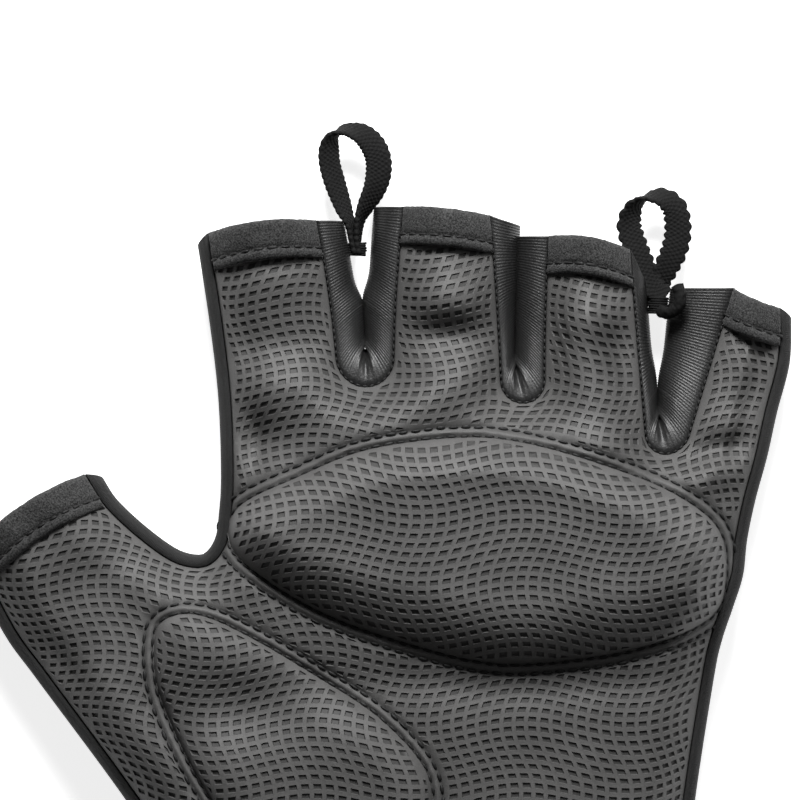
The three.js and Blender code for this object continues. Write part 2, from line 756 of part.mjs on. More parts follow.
// The closing tab, a plain strip that lies flat under the cuff.
function wristTab() {
  const shape = new THREE.Shape();
  const [halfLength, halfWidth] = [TAB_LENGTH / 2, TAB_WIDTH / 2];
  const corners = [
    [halfLength, halfWidth, 0],
    [-halfLength, halfWidth, Math.PI / 2],
    [-halfLength, -halfWidth, Math.PI],
    [halfLength, -halfWidth, 1.5 * Math.PI],
  ];
  for (const [x, y, start] of corners) {
    const [cx, cy] = [x - Math.sign(x) * TAB_CORNER, y - Math.sign(y) * TAB_CORNER];
    shape.absarc(cx, cy, TAB_CORNER, start, start + Math.PI / 2);
  }
  const plate = new THREE.ExtrudeGeometry(shape, {
    depth: TAB_THICKNESS,
    bevelEnabled: false,
    curveSegments: 4,
  });
  plate.translate(WRIST_X, WRIST_Y - SEAM_GAP - CUFF_LENGTH / 2, 0);
  return toGeometry(toSolid(plate));
}

// The middle line of a pull loop's band, seen from above and counted from the
// outer end of its bar.
function loopLine(row, u) {
  const turn = lerp(-Math.PI, Math.PI, u);
  const round = (1 + Math.cos(turn)) / 2;
  const drop = 1.45 * Math.sin(turn) * round ** 0.75;
  const out = (LOOP_WIDTH / 2) * drop + Math.sign(u - 0.5) * BAR_HALF;
  const line = new THREE.Vector2(out, LOOP_LENGTH * round ** 0.8);
  return line.rotateAround(new THREE.Vector2(), radians(row.lean));
}

// A pull loop: a band bent into a drop that turns on itself along its arms, with
// the sewn bar that ties it down between the two walls of its gusset.
function pullLoop(row) {
  const wall = gussetWalls[GUSSETS.findIndex(({ name }) => name === row.gusset)].outline;
  const [leftTip, rightTip] = [wall[0], wall[wall.length - 1]];
  const seatY = Math.min(leftTip.y, rightTip.y) - row.seat * FINGER_LENGTH;
  const bandY = seatY + row.bar * FINGER_LENGTH;
  const seatX = (leftTip.x + rightTip.x) / 2;
  const middleZ = (SEAM_SHARE * FINGER_HEIGHT + GUSSET_LIFT) / 2;
  const reach = 1e-3;
  const point = (u, v) => {
    const here = loopLine(row, u);
    const along = loopLine(row, Math.min(u + reach, 1)).sub(loopLine(row, Math.max(u - reach, 0)));
    along.normalize();
    const inward = new THREE.Vector3(along.y, -along.x, 0);
    const arms = row.arms * Math.abs(Math.sin(2 * Math.PI * u)) ** 0.8;
    const turned = radians(arms + row.top * Math.sin(Math.PI * u));
    const width = UP.clone().multiplyScalar(Math.cos(turned)).addScaledVector(inward, Math.sin(turned));
    return new THREE.Vector3(seatX + here.x, bandY + here.y, middleZ)
      .addScaledVector(width, (v - 0.5) * WEBBING_WIDTH)
      .addScaledVector(new THREE.Vector3(along.x, along.y, 0).cross(width), WEBBING_THICKNESS / 2);
  };
  const band = toSolid(thickSheet(point, LOOP_STEPS, 2, WEBBING_THICKNESS));
  const half = BAR_HALF + WEBBING_THICKNESS / 2;
  const barLength = bandY - seatY + BAR_LAP;
  const bar = new THREE.BoxGeometry(2 * half, barLength, WEBBING_WIDTH);
  return toGeometry(band.add(toSolid(bar.translate(seatX, seatY + barLength / 2, middleZ))));
}

const group = new THREE.Group();

function show(name, geometry, finish) {
  const mesh = new THREE.Mesh(geometry, new THREE.MeshStandardMaterial(COLOURS[finish]));
  mesh.name = name;
  group.add(mesh);
}

show("palm_panel", palmPanel(), "leather");
show("back_panel", backPanel(), "cloth");
show("palm_pad", pad(PALM_PAD, PAD_RISE, PAD_ROLL), "leather");
show("thenar_pad", pad(THENAR_PAD, THENAR_RISE, THENAR_ROLL), "leather");
GUSSETS.forEach((row, i) => show(row.name, gusset(gussetWalls[i]), "knit"));

Object.entries(hems).forEach(([name, edges]) => show(name, hem(edges), "hem"));
LOOPS.forEach((row) => show(row.name, pullLoop(row), "webbing"));
show("cuff", cuff(), "hem");
show("wrist_tab", wristTab(), "webbing");

export default group;
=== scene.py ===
"""A fingerless weightlifting glove for the left hand, lying on its back with the palm up.

+X points to the little finger, +Y to the fingertips and +Z up, out of the palm.
Lengths are millimetres until a mesh is made, and then they are metres.
"""

import logging
import math
from dataclasses import dataclass, field
from enum import Enum
from typing import Callable, Sequence

import bmesh
import bpy
import numpy as np
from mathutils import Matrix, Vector
from mathutils.bvhtree import BVHTree
from mathutils.geometry import delaunay_2d_cdt

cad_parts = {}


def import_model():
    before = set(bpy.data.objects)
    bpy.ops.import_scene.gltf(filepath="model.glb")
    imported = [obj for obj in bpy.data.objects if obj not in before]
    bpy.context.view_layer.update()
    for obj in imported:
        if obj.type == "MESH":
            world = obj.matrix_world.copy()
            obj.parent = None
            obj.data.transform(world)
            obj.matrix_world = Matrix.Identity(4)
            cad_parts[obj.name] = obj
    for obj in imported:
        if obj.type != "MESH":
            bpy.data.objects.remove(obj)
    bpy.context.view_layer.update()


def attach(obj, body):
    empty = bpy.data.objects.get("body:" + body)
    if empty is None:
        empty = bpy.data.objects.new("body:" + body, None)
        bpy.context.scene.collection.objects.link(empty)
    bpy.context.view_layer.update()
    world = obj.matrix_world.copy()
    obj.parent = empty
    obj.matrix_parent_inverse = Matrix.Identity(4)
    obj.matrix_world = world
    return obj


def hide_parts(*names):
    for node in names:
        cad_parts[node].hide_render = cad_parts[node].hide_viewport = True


norm = np.linalg.norm
stack = np.column_stack
Array = np.ndarray
Pair = tuple[float, float]
Triple = tuple[float, float, float]
Corners = tuple[int, int, int]
Height = Callable[[Array], Array]
Material = bpy.types.Material
Object = bpy.types.Object
Socket = bpy.types.NodeSocket
Tree = bpy.types.NodeTree
MM = 0.001
BODY = "root"
# The steps of a smooth curve between two of its points
CURVE_STEPS = 24
# How far a sheet's face and lining stay inside its outline, and how its edge is rounded
EDGE_INSET = 0.3
EDGE_ROUND = 0.35
LINING_STEP = 3.0
# The first and the last column of a surface, and whether it is the last
ENDS = ((0, False), (-1, True))
LOG = logging.getLogger("glove")


def unit(vectors: Array) -> Array:
    """The vectors, scaled to length one."""
    return vectors / np.maximum(norm(vectors, axis=-1, keepdims=True), 1e-9)


def mix(low: Array | float, high: Array | float, share: Array | float) -> Array | float:
    """The value that lies a share of the way from low to high."""
    return low + (high - low) * share


def smooth_step(value: Array, low: float, high: float) -> Array:
    """A soft step of the value, from 0 at low to 1 at high."""
    t = np.clip((value - low) / (high - low), 0, 1)
    return t * t * (3 - 2 * t)


def lengths_along(line: Array) -> Array:
    """The way along a line to each of its points."""
    return np.concatenate([[0], np.cumsum(norm(np.diff(line, axis=0), axis=1))])


def drawn(at: Array, along: Array, line: Array) -> Array:
    """The points of a line at some ways along it."""
    return stack([np.interp(at, along, values) for values in line.T])


def resample(line: Array, step: float, closed: bool = False) -> Array:
    """Evenly spaced points along a line.

    Args:
        line: Its points, with other values from the fourth column on.
        step: The spacing that is wanted.
        closed: Whether it closes on itself.

    Returns:
        The new points.
    """
    if closed:
        line = np.vstack([line, line[:1]])
    along = lengths_along(line[:, :3])
    count = max(int(round(along[-1] / step)), 2)
    at = np.linspace(0, along[-1], count + 1)
    if closed:
        at = at[:-1]
    return drawn(at, along, line)


def smooth_line(points: Sequence, step: float, closed: bool = False) -> Array:
    """Evenly spaced points on a smooth curve through some points.

    Args:
        points: Points on the curve.
        step: The spacing that is wanted.
        closed: Whether it closes on itself.

    Returns:
        The points of the curve.
    """
    given = np.asarray(points, float)
    if closed:
        before, ahead = given[-1:], given[:2]
    else:
        before, ahead = given[:1], given[-1:]
    around = np.vstack([before, given, ahead])
    t = np.linspace(0, 1, CURVE_STEPS + 1)[:-1, None]
    pieces = []
    for i in range(len(around) - 3):
        a, b, c, d = around[i : i + 4]
        ease_in, ease_out = (c - a) / 2, (d - b) / 2
        cubic = (2 * b - 2 * c + ease_in + ease_out) * t**3
        square = (3 * c - 3 * b - 2 * ease_in - ease_out) * t**2
        pieces.append(cubic + square + ease_in * t + b)
    if not closed:
        pieces.append(given[-1:])
    return resample(np.vstack(pieces), step, closed)


def to_the_right(line: Array, distance: float, closed: bool = False) -> Array:
    """Moves a line sideways.

    Args:
        line: The points of the line, in plan.
        distance: How far it moves to the right of its direction.
        closed: Whether it closes on itself.

    Returns:
        The moved points.
    """
    if closed:
        along = unit(np.roll(line, -1, axis=0) - np.roll(line, 1, axis=0))
    else:
        along = unit(np.gradient(line, axis=0))
    return line + stack([along[:, 1], -along[:, 0]]) * distance


def trimmed(line: Array, from_start: float, from_end: float) -> Array:
    """Cuts a line back at its ends.

    Args:
        line: The points of the line, in plan.
        from_start: The length that goes at its start.
        from_end: The length that goes at its end.

    Returns:
        The points that are left, with new ones at the cuts.
    """
    along = lengths_along(line)
    ends = [from_start, along[-1] - from_end]
    inner = (along > ends[0] + 0.05) & (along < ends[1] - 0.05)
    at = np.concatenate([ends[:1], along[inner], ends[1:]])
    return drawn(at, along, line)


class LineField:
    """Distances from points to a set of lines, positive on the lines' right side."""

    PART = 4000

    def __init__(self, lines: Sequence[Array], closed: bool = False) -> None:
        """Keeps the segments of the lines."""
        if closed:
            lines = [np.vstack([line, line[:1]]) for line in lines]
        self.start = np.vstack([line[:-1] for line in lines])
        self.step = np.vstack([np.diff(line, axis=0) for line in lines])
        self.square = np.maximum((self.step**2).sum(axis=1), 1e-12)

    def look(self, points: Array) -> tuple[Array, Array]:
        """The signed distance to the nearest line, and the direction away from it.

        Args:
            points: Points in plan.

        Returns:
            The distances, and unit vectors that point to the lines' right side.
        """
        distance = np.empty(len(points))
        inward = np.empty((len(points), 2))
        for i in range(0, len(points), self.PART):
            rows_here = slice(i, i + self.PART)
            part = points[rows_here]
            across = part[:, None, 0] - self.start[None, :, 0]
            along = part[:, None, 1] - self.start[None, :, 1]
            t = np.clip((across * self.step[:, 0] + along * self.step[:, 1]) / self.square, 0, 1)
            gap = np.stack([across - t * self.step[:, 0], along - t * self.step[:, 1]], axis=-1)
            best = (gap**2).sum(axis=-1).argmin(axis=1)
            rows = np.arange(len(part))
            gap = gap[rows, best]
            step = unit(self.step[best])
            right = stack([step[:, 1], -step[:, 0]])
            side = np.where((gap * right).sum(axis=1) >= 0, 1.0, -1.0)
            length = norm(gap, axis=1)
            distance[rows_here] = length * side
            away = gap / np.maximum(length, 1e-4)[:, None] * side[:, None]
            inward[rows_here] = np.where(length[:, None] > 1e-4, away, right)
        return distance, inward

    def distance(self, points: Array) -> Array:
        """The signed distances alone."""
        return self.look(points)[0]


def inside(points: Array, outline: Array) -> Array:
    """Finds the points that lie within a closed outline.

    Args:
        points: Points in plan.
        outline: The corners of the outline.

    Returns:
        True for each point that lies within it.
    """
    found = np.zeros(len(points), bool)
    for (x1, y1), (x2, y2) in zip(outline, np.roll(outline, -1, axis=0)):
        spans = (y1 > points[:, 1]) != (y2 > points[:, 1])
        if y1 != y2:
            found ^= spans & (points[:, 0] < (x2 - x1) * (points[:, 1] - y1) / (y2 - y1) + x1)
    return found


def spots_within(outline: Array, step: float, gap: float, frame: Array | None = None) -> Array:
    """The points of a square grid that lie within an outline.

    Args:
        outline: A closed outline.
        step: The grid's spacing.
        gap: The way that the points keep from the outline.
        frame: The outline whose box the grid fills, if it is another one.

    Returns:
        The points.
    """
    box = outline if frame is None else frame
    low, high = box.min(axis=0), box.max(axis=0)
    x, y = np.meshgrid(np.arange(low[0], high[0], step), np.arange(low[1], high[1], step))
    spots = stack([x.reshape(-1), y.reshape(-1)])
    spots = spots[inside(spots, outline)]
    return spots[np.abs(LineField([outline], closed=True).distance(spots)) > gap]


def noise(points: Array, size: float, seed: int) -> Array:
    """Soft random waves of about a given size, from -1 to 1.

    Args:
        points: Points with two or three coordinates.
        size: The usual distance between two swells.
        seed: The number that fixes the waves.

    Returns:
        One value for each point.
    """
    rng = np.random.default_rng(seed)
    total = np.zeros(len(points))
    for _ in range(14):
        way = unit(rng.normal(size=points.shape[1]))
        pitch = size * rng.uniform(0.8, 1.9)
        total += np.sin(points @ way * (2 * math.pi / pitch) + rng.uniform(0, 2 * math.pi))
    return total / 6


def waves(points: Array, rows: Sequence[tuple[float, float, int]], level: float = 0.0) -> Array:
    """Waves of several heights, sizes and seeds, laid over each other on a level."""
    return sum((height * noise(points, size, seed) for height, size, seed in rows), level)


def placed(name: str, data: bpy.types.ID) -> Object:
    """A new object in the scene, with its data."""
    made = bpy.data.objects.new(name, data)
    bpy.context.scene.collection.objects.link(made)
    return made


@dataclass(frozen=True)
class Fold:
    """A dent or swell of the leather: its middle, reach, turn in degrees and rise."""

    x: float
    y: float
    along: float
    across: float
    turn: float
    rise: float

    def height(self, points: Array) -> Array:
        """What the fold adds to the height at some points."""
        turn = math.radians(self.turn)
        dx, dy = points[:, 0] - self.x, points[:, 1] - self.y
        along = (dx * math.cos(turn) + dy * math.sin(turn)) / self.along
        across = (dy * math.cos(turn) - dx * math.sin(turn)) / self.across
        return self.rise * np.exp(-(along**2) - across**2)


@dataclass
class Wall:
    """A wall between a seam of the palm and the back, given by three guide lines."""

    seam: Array
    outline: Array
    floor: Array


@dataclass
class Hand:
    """The sizes and surfaces that all the glove's pieces share."""

    hand_width: float = 104
    palm_length: float = 105
    finger_length: float = 35
    thumb_length: float = 26
    thumb_width: float = 29
    thumb_splay: float = 33.4
    wrist_width: float = 80
    palm_height: float = 23
    finger_height: float = 18
    thumb_height: float = 19
    seam_gap: float = 0.3
    side_wrap: float = 1.6
    floor_inset: float = 6
    edge_roll: float = 9
    seam_share: float = 0.68
    corner_drop: float = 2.4
    hem_length: float = 6.6
    gusset_lift: float = 0.4
    pinch: float = 1.2
    mouth_widening: float = 1.6
    line_step: float = 1.0
    gusset_steps: int = 52

    INDEX_SIDE = [
        (-0.502, 0.144, 0), (-0.482, 0.153, 0), (-0.467, 0.178, 0), (-0.4615, 0.211, 0),
        (-0.4567, 0.286, 0), (-0.4615, 0.419, 0.011), (-0.477, 0.419, 0.411),
        (-0.498, 0.419, 0.82),
    ]
    LITTLE_SIDE = [
        (0.552, 0.419, 0.43), (0.549, 0.419, 0.21), (0.526, 0.402, 0), (0.508, 0.324, 0),
        (0.487, 0.248, 0), (0.472, 0.177, 0), (0.4645, 0.114, 0), (0.446, 0.056, 0),
        (0.427, 0, 0), (0.4125, -0.067, 0), (0.378, -0.29, 0),
    ]
    THUMB_WEB = [(1, 0.49), (0.82, 0.49), (0.54, 0.55), (0.28, 0.64)]
    THUMB_OUTER = [(0.085, -0.535), (0.464, -0.55), (1, -0.5)]
    THENAR_SIDE = [(-0.565, -0.366, 0), (-0.672, -0.219, 0)]
    # The left and right ends of each finger's hem and its bow
    FINGERS = [
        (0.866, 0.963, 0.028), (1.037, 0.989, 0.011), (0.88, 0.805, 0.029), (0.606, 0.49, -0.014),
    ]
    # For each gusset: crotch x and y, tip x, half widths at root and tip, widening,
    # web height, web x, mouth x, mouth half width and dip
    GUSSETS = [
        (-0.203, 0.448, -0.2135, 0.048, 0.076, 1.6, 0.2, -0.205, -0.216, 0.027, 0),
        (0.077, 0.419, 0.0707, 0.037, 0.0505, 1.6, 0.2, 0.062, 0.0675, 0.007, 0.05),
        (0.33, 0.329, 0.3606, 0.031, 0.091, 1, 0.2, 0.318, 0.32, 0.022, 0.17),
    ]
    CROWN = [(-0.552, 0.83), (-0.3, 0.97), (0, 1), (0.28, 0.96)]
    FOLDS = [
        (-0.34, 0.58, 0.13, 0.05, 12, -0.07), (-0.4, 0.38, 0.09, 0.06, -10, -0.05),
        (-0.05, 0.545, 0.1, 0.035, 8, -0.075), (0.005, 0.61, 0.05, 0.04, 0, 0.04),
        (0.235, 0.5, 0.05, 0.1, -20, -0.05), (0.43, 0.34, 0.12, 0.025, 8, -0.06),
        (0.45, 0.295, 0.08, 0.025, 4, 0.03), (-0.63, 0.07, 0.05, 0.13, -12, -0.06),
        (0.05, -0.07, 0.35, 0.04, 0, -0.06),
    ]

    def __post_init__(self) -> None:
        """Lays out the guide lines of the walls, and the hems between them."""
        self.knuckle_y = 0.419 * self.palm_length
        self.wrist_y = -0.552 * self.palm_length
        self.wrist_x = -0.038 * self.hand_width
        self.thumb_root = self.on_hand([(-0.653, -0.001, 0)])[0]
        splay = math.radians(self.thumb_splay)
        self.thumb_axis = np.array([-math.sin(splay), math.cos(splay)])
        self.thumb_side = np.array([self.thumb_axis[1], -self.thumb_axis[0]])
        half = self.wrist_width / 2
        left, right = ([[self.wrist_x + side, self.wrist_y]] for side in (-half, half))
        outer = [left, self.on_hand(self.THENAR_SIDE), self.on_thumb(self.THUMB_OUTER)]
        web = [self.on_thumb(self.THUMB_WEB), self.on_hand(self.INDEX_SIDE)]
        little = [self.on_hand(self.LITTLE_SIDE), right]
        self.thumb_wall, self.web_wall, self.little_wall = (
            self.side_wall(smooth_line(np.vstack(rows), self.line_step))
            for rows in (outer, web, little)
        )
        self.gusset_walls = [self.gusset_wall(i) for i in range(len(self.GUSSETS))]
        self.walls = [self.thumb_wall, self.web_wall, *self.gusset_walls, self.little_wall]
        self.seams = LineField([wall.seam for wall in self.walls])
        self.folds = [
            Fold(
                x * self.hand_width, y * self.palm_length, along * self.hand_width,
                across * self.palm_length, turn, rise * self.palm_height,
            )
            for x, y, along, across, turn, rise in self.FOLDS
        ]
        self.hems = self.lay_hems()

    def on_hand(self, rows: Sequence[Triple]) -> Array:
        """Points given as shares of the hand's width, the palm and a finger."""
        table = np.asarray(rows, float)
        y = table[:, 1] * self.palm_length + table[:, 2] * self.finger_length
        return stack([table[:, 0] * self.hand_width, y])

    def on_thumb(self, rows: Sequence[Pair]) -> Array:
        """Points given in the thumb's own frame."""
        table = np.asarray(rows, float)
        along = np.outer(table[:, 0] * self.thumb_length, self.thumb_axis)
        return self.thumb_root + along + np.outer(table[:, 1] * self.thumb_width, self.thumb_side)

    def finish_ends(self, line: Array) -> Array:
        """Draws both ends of a line on, to the wrist or ahead of the hems."""
        line = line.copy()
        for end, inner in ((0, 3), (-1, -4)):
            away = unit(line[end] - line[inner])
            at_wrist = abs(line[end][1] - self.wrist_y) < self.floor_inset
            reach = (self.wrist_y - line[end][1]) / away[1] if at_wrist else self.corner_drop
            line[end] = line[end] + away * reach
        return line

    def side_wall(self, outline: Array) -> Wall:
        """The guide lines of a side wall, from its outline."""
        seam = self.finish_ends(to_the_right(outline, self.side_wrap))
        return Wall(seam, outline, self.finish_ends(to_the_right(outline, self.floor_inset)))

    def gusset_wall(self, index: int) -> Wall:
        """The guide lines of the gusset between two fingers."""
        row = self.GUSSETS[index]
        x, y, tip_x, root, tip, widening, web, web_x, mouth_x, mouth, dip = row
        wide, half_pinch = self.hand_width, self.pinch / 2
        crotch = self.on_hand([(x, y, 0)])[0]
        fold = self.on_hand([(web_x, y, web)])[0]
        seam = self.u_line(index, crotch, tip_x * wide, root * wide, tip * wide, widening, 0)
        width = max(mouth * wide, half_pinch)
        middle = self.u_line(
            index, fold, mouth_x * wide, half_pinch, width, self.mouth_widening, dip
        )
        return Wall(seam, middle, seam)

    def u_line(
        self, index: int, bottom: Array, tip_x: float, root: float, mouth: float,
        widening: float, dip: float,
    ) -> Array:
        """Lays a line from the hem on a gusset's left, round its crotch, to the one on its right.

        Args:
            index: The number of the gusset.
            bottom: The lowest point of the line.
            tip_x: The middle of its open end.
            root: Half its width just above the bottom.
            mouth: Half its width at the open end.
            widening: How late it widens.
            dip: How much lower its left end is, as a share of a finger.

        Returns:
            The points of the line, in plan.
        """
        share = np.linspace(0, 1, self.gusset_steps + 1) ** 1.5
        sides = []
        for side, finger in ((-1, index), (1, index + 1)):
            end = self.FINGERS[finger][1] - dip if side < 0 else self.FINGERS[finger][0]
            tip_y = self.knuckle_y + end * self.finger_length
            along = share * (tip_y - bottom[1])
            bend = np.minimum(along / root, 1)
            half = root * np.sqrt(1 - (1 - bend) ** 2) + (mouth - root) * share**widening
            across = mix(bottom[0], tip_x, share) + side * half
            sides.append(stack([across, bottom[1] + along]))
        return np.vstack([sides[0][::-1], sides[1][1:]])

    def lay_hems(self) -> dict[str, "HemEdges"]:
        """The edges of the five hems, each between the seams at a finger's two sides."""
        seams = [self.web_wall.seam[::-1]]
        for wall in self.gusset_walls:
            seams += [wall.seam, wall.seam[::-1]]
        seams.append(self.little_wall.seam)
        names = ["index_hem", "middle_hem", "ring_hem", "little_hem"]
        made = {
            name: HemEdges.between(
                self, seams[2 * i], seams[2 * i + 1], self.FINGERS[i][2] * self.finger_length
            )
            for i, name in enumerate(names)
        }
        thumb = HemEdges.between(
            self, self.thumb_wall.seam[::-1], self.web_wall.seam, 0.07 * self.thumb_length
        )
        return {"thumb_hem": thumb, **made}

    def crown(self, points: Array) -> Array:
        """The full height of the palm side over some points."""
        rows = np.asarray(self.CROWN, float)
        y = np.clip(points[:, 1] / self.palm_length, rows[0, 0], rows[-1, 0])
        i = np.clip(np.searchsorted(rows[:, 0], y), 1, len(rows) - 1)
        t = (y - rows[i - 1, 0]) / (rows[i, 0] - rows[i - 1, 0])
        palm = mix(rows[i - 1, 1], rows[i, 1], t * t * (3 - 2 * t)) * self.palm_height
        start = 0.28 * self.palm_length
        to_fingers = smooth_step(points[:, 1], start, self.knuckle_y + 0.4 * self.finger_length)
        from_root = points - self.thumb_root
        along, across = from_root @ self.thumb_axis, from_root @ self.thumb_side
        beside = 1 - smooth_step(across, 0.5 * self.thumb_width, self.thumb_width)
        to_thumb = beside * smooth_step(along, -0.8 * self.thumb_length, 0.4 * self.thumb_length)
        return mix(mix(palm, self.finger_height, to_fingers), self.thumb_height, to_thumb)

    def palm_top(self, points: Array) -> Array:
        """The height of the palm leather: low at the seams and full in the middle."""
        roll = np.sin(np.pi / 2 * np.clip(self.seams.distance(points) / self.edge_roll, -1, 1))
        folds = sum(fold.height(points) for fold in self.folds)
        return self.crown(points) * mix(self.seam_share, 1, roll) + folds * np.maximum(roll, 0)

    def wall_grid(self, wall: Wall, u: Array, v: Array, lift: float) -> Array:
        """The surface of a wall at shares of its length and of the way down.

        Args:
            wall: The wall's guide lines.
            u: Shares of its length.
            v: Shares of the way from the palm seam to the floor.
            lift: The height of its lower edge.

        Returns:
            Points in a grid with a row for each v.
        """
        place = u * (len(wall.seam) - 1)
        at = np.arange(len(wall.seam))
        lines = (wall.seam, wall.outline, wall.floor)
        seam, outline, floor = (drawn(place, at, line) for line in lines)
        drop = ((1 - np.cos(np.pi * v)) / 2)[:, None, None]
        bulge = (outline - (seam + floor) / 2)[None]
        plan = mix(seam[None], floor[None], drop) + bulge * np.sin(np.pi * v)[:, None, None]
        top = self.seam_share * self.crown(seam)
        z = mix(top[None], lift, drop[..., 0])
        return np.concatenate([plan, z[..., None]], axis=-1)


@dataclass
class HemEdges:
    """The lower edge and the tip of a hem."""

    low: Array
    tip: Array

    @staticmethod
    def between(hand: Hand, left: Array, right: Array, bow: float) -> "HemEdges":
        """Lays the edges of one hem.

        Args:
            hand: The glove's sizes.
            left: The seam at the finger's left side, from its tip down.
            right: The seam at its right side, from its tip down.
            bow: How far the edges bow ahead in the middle.

        Returns:
            The edges.
        """
        low = np.array([trimmed(line, hand.hem_length, 0)[0] for line in (left, right)])
        tip = np.array([left[0], right[0]])
        away = unit((tip - low).sum(axis=0))
        share = np.linspace(0, 1, 61)[:, None]

        def arched(ends: Array) -> Array:
            """An edge that bows ahead in its middle."""
            return mix(ends[0], ends[1], share) + away * 4 * bow * share * (1 - share)

        return HemEdges(arched(low), arched(tip))

    def plan(self, across: Array, along: Array, length: float) -> Array:
        """Places points at shares of the hem's width and lengths from its lower edge."""
        at = np.linspace(0, 1, len(self.low))
        low, tip = (drawn(across, at, line) for line in (self.low, self.tip))
        return mix(low, tip, (along / length)[:, None])


class Piece:
    """The points and faces of one piece, gathered before its mesh is made."""

    def __init__(self) -> None:
        """Starts with nothing."""
        self.points: list[Array] = []
        self.faces: list[tuple[int, ...]] = []
        self.finishes: list[int] = []
        self.painted_shades: list[Array] = []
        self.count = 0

    def add(self, points: Array, painted_shade: float | Array = 0.0) -> range:
        """Adds points with the painted shade that darkens their colour, and says their numbers."""
        self.points.append(points)
        self.painted_shades.append(np.broadcast_to(painted_shade, len(points)))
        self.count += len(points)
        return range(self.count - len(points), self.count)

    def face(self, *corners: int, finish: int = 0) -> None:
        """Adds one face."""
        self.faces.append(corners)
        self.finishes.append(finish)

    def strip(self, first: Sequence[int], second: Sequence[int]) -> None:
        """Joins two rings or lines of equal length with four-sided faces."""
        for i in range(len(first) - 1):
            self.face(first[i], first[i + 1], second[i + 1], second[i])

    def grid(
        self, surface: Array, loop_u: bool = False, loop_v: bool = False,
        flip: bool = False, finish: int = 0,
    ) -> Array:
        """Adds a surface given as rows of points, and says where its points went.

        Args:
            surface: Points in rows.
            loop_u: Whether each row closes on itself.
            loop_v: Whether the rows close on the first.
            flip: Whether the faces look the other way.
            finish: The number of the finish.

        Returns:
            The points' numbers, in the same rows.
        """
        rows, columns = surface.shape[:2]
        at = np.array(self.add(surface.reshape(-1, 3))).reshape(rows, columns)
        down = np.vstack([at, at[:1]]) if loop_v else at
        full = stack([down, down[:, :1]]) if loop_u else down
        a, b, c, d = full[:-1, :-1], full[:-1, 1:], full[1:, 1:], full[1:, :-1]
        quads = np.stack([a, d, c, b] if flip else [a, b, c, d], axis=-1).reshape(-1, 4)
        self.faces.extend(map(tuple, quads.tolist()))
        self.finishes.extend([finish] * len(quads))
        return at

    def close_ends(self, at: Array) -> None:
        """Closes the two ends of a tube, given by its points' numbers in columns."""
        self.face(*at[:, 0].tolist()[::-1])
        self.face(*at[:, -1].tolist())

    def build(self, name: str, materials: Sequence[Material], crease: float = 60) -> Object:
        """Makes the mesh and its object, in metres.

        Args:
            name: The object's name.
            materials: The materials, in the order of the finishes' numbers.
            crease: The angle in degrees from which an edge is shaded sharp.

        Returns:
            The object.
        """
        mesh = bpy.data.meshes.new(name)
        points = np.vstack(self.points) * MM
        mesh.from_pydata(points.tolist(), [], self.faces)
        mesh.update()
        mesh.polygons.foreach_set("use_smooth", [True] * len(mesh.polygons))
        mesh.polygons.foreach_set("material_index", self.finishes)
        mesh.set_sharp_from_angle(angle=math.radians(crease))
        # Each point's painted shade, which darkens its colour in dents and stitched grooves
        painted_shade = mesh.attributes.new("painted_shade", "FLOAT", "POINT")
        painted_shade.data.foreach_set("value", np.concatenate(self.painted_shades))
        for material in materials:
            mesh.materials.append(material)
        return placed(name, mesh)


def slope(surface: Array, axis: int, loop: bool) -> Array:
    """How a surface given as rows of points runs along one axis."""
    if loop:
        return np.roll(surface, -1, axis=axis) - np.roll(surface, 1, axis=axis)
    return np.gradient(surface, axis=axis)


def thick_cloth(
    piece: Piece, surface: Array, wall: float, relief: Array, loop_u: bool = False,
    lining: int = 0,
) -> None:
    """Adds a cloth of even thickness under a surface, with rounded edges.

    Args:
        piece: The piece that takes it.
        surface: The outer surface, as rows of points.
        wall: The cloth's thickness.
        relief: Heights that are added to the outer face.
        loop_u: Whether each row closes on itself.
        lining: The number of the inner finish.
    """
    normals = unit(np.cross(slope(surface, 1, loop_u), slope(surface, 0, False)))
    front = piece.grid(surface + normals * relief[..., None], loop_u)
    back = piece.grid(surface - normals * wall, loop_u, flip=True, finish=lining)
    for row, inner, last in ((0, 1, False), (-1, -2, True)):
        out = unit(surface[row] - surface[inner])
        middle = surface[row] + out * wall * 0.4 - normals[row] * wall / 2
        loops = [list(front[row]), list(piece.add(middle)), list(back[row])]
        if loop_u:
            loops = [line + line[:1] for line in loops]
        for a, b in zip(loops, loops[1:]):
            piece.strip(*((a, b) if last else (b, a)))
        if not loop_u:
            for column, far in ENDS:
                a, b, c = (line[column] for line in loops)
                piece.face(*((a, b, c) if last != far else (a, c, b)))
    if not loop_u:
        for column, last in ENDS:
            a, b = list(front[:, column]), list(back[:, column])
            piece.strip(*((b, a) if last else (a, b)))


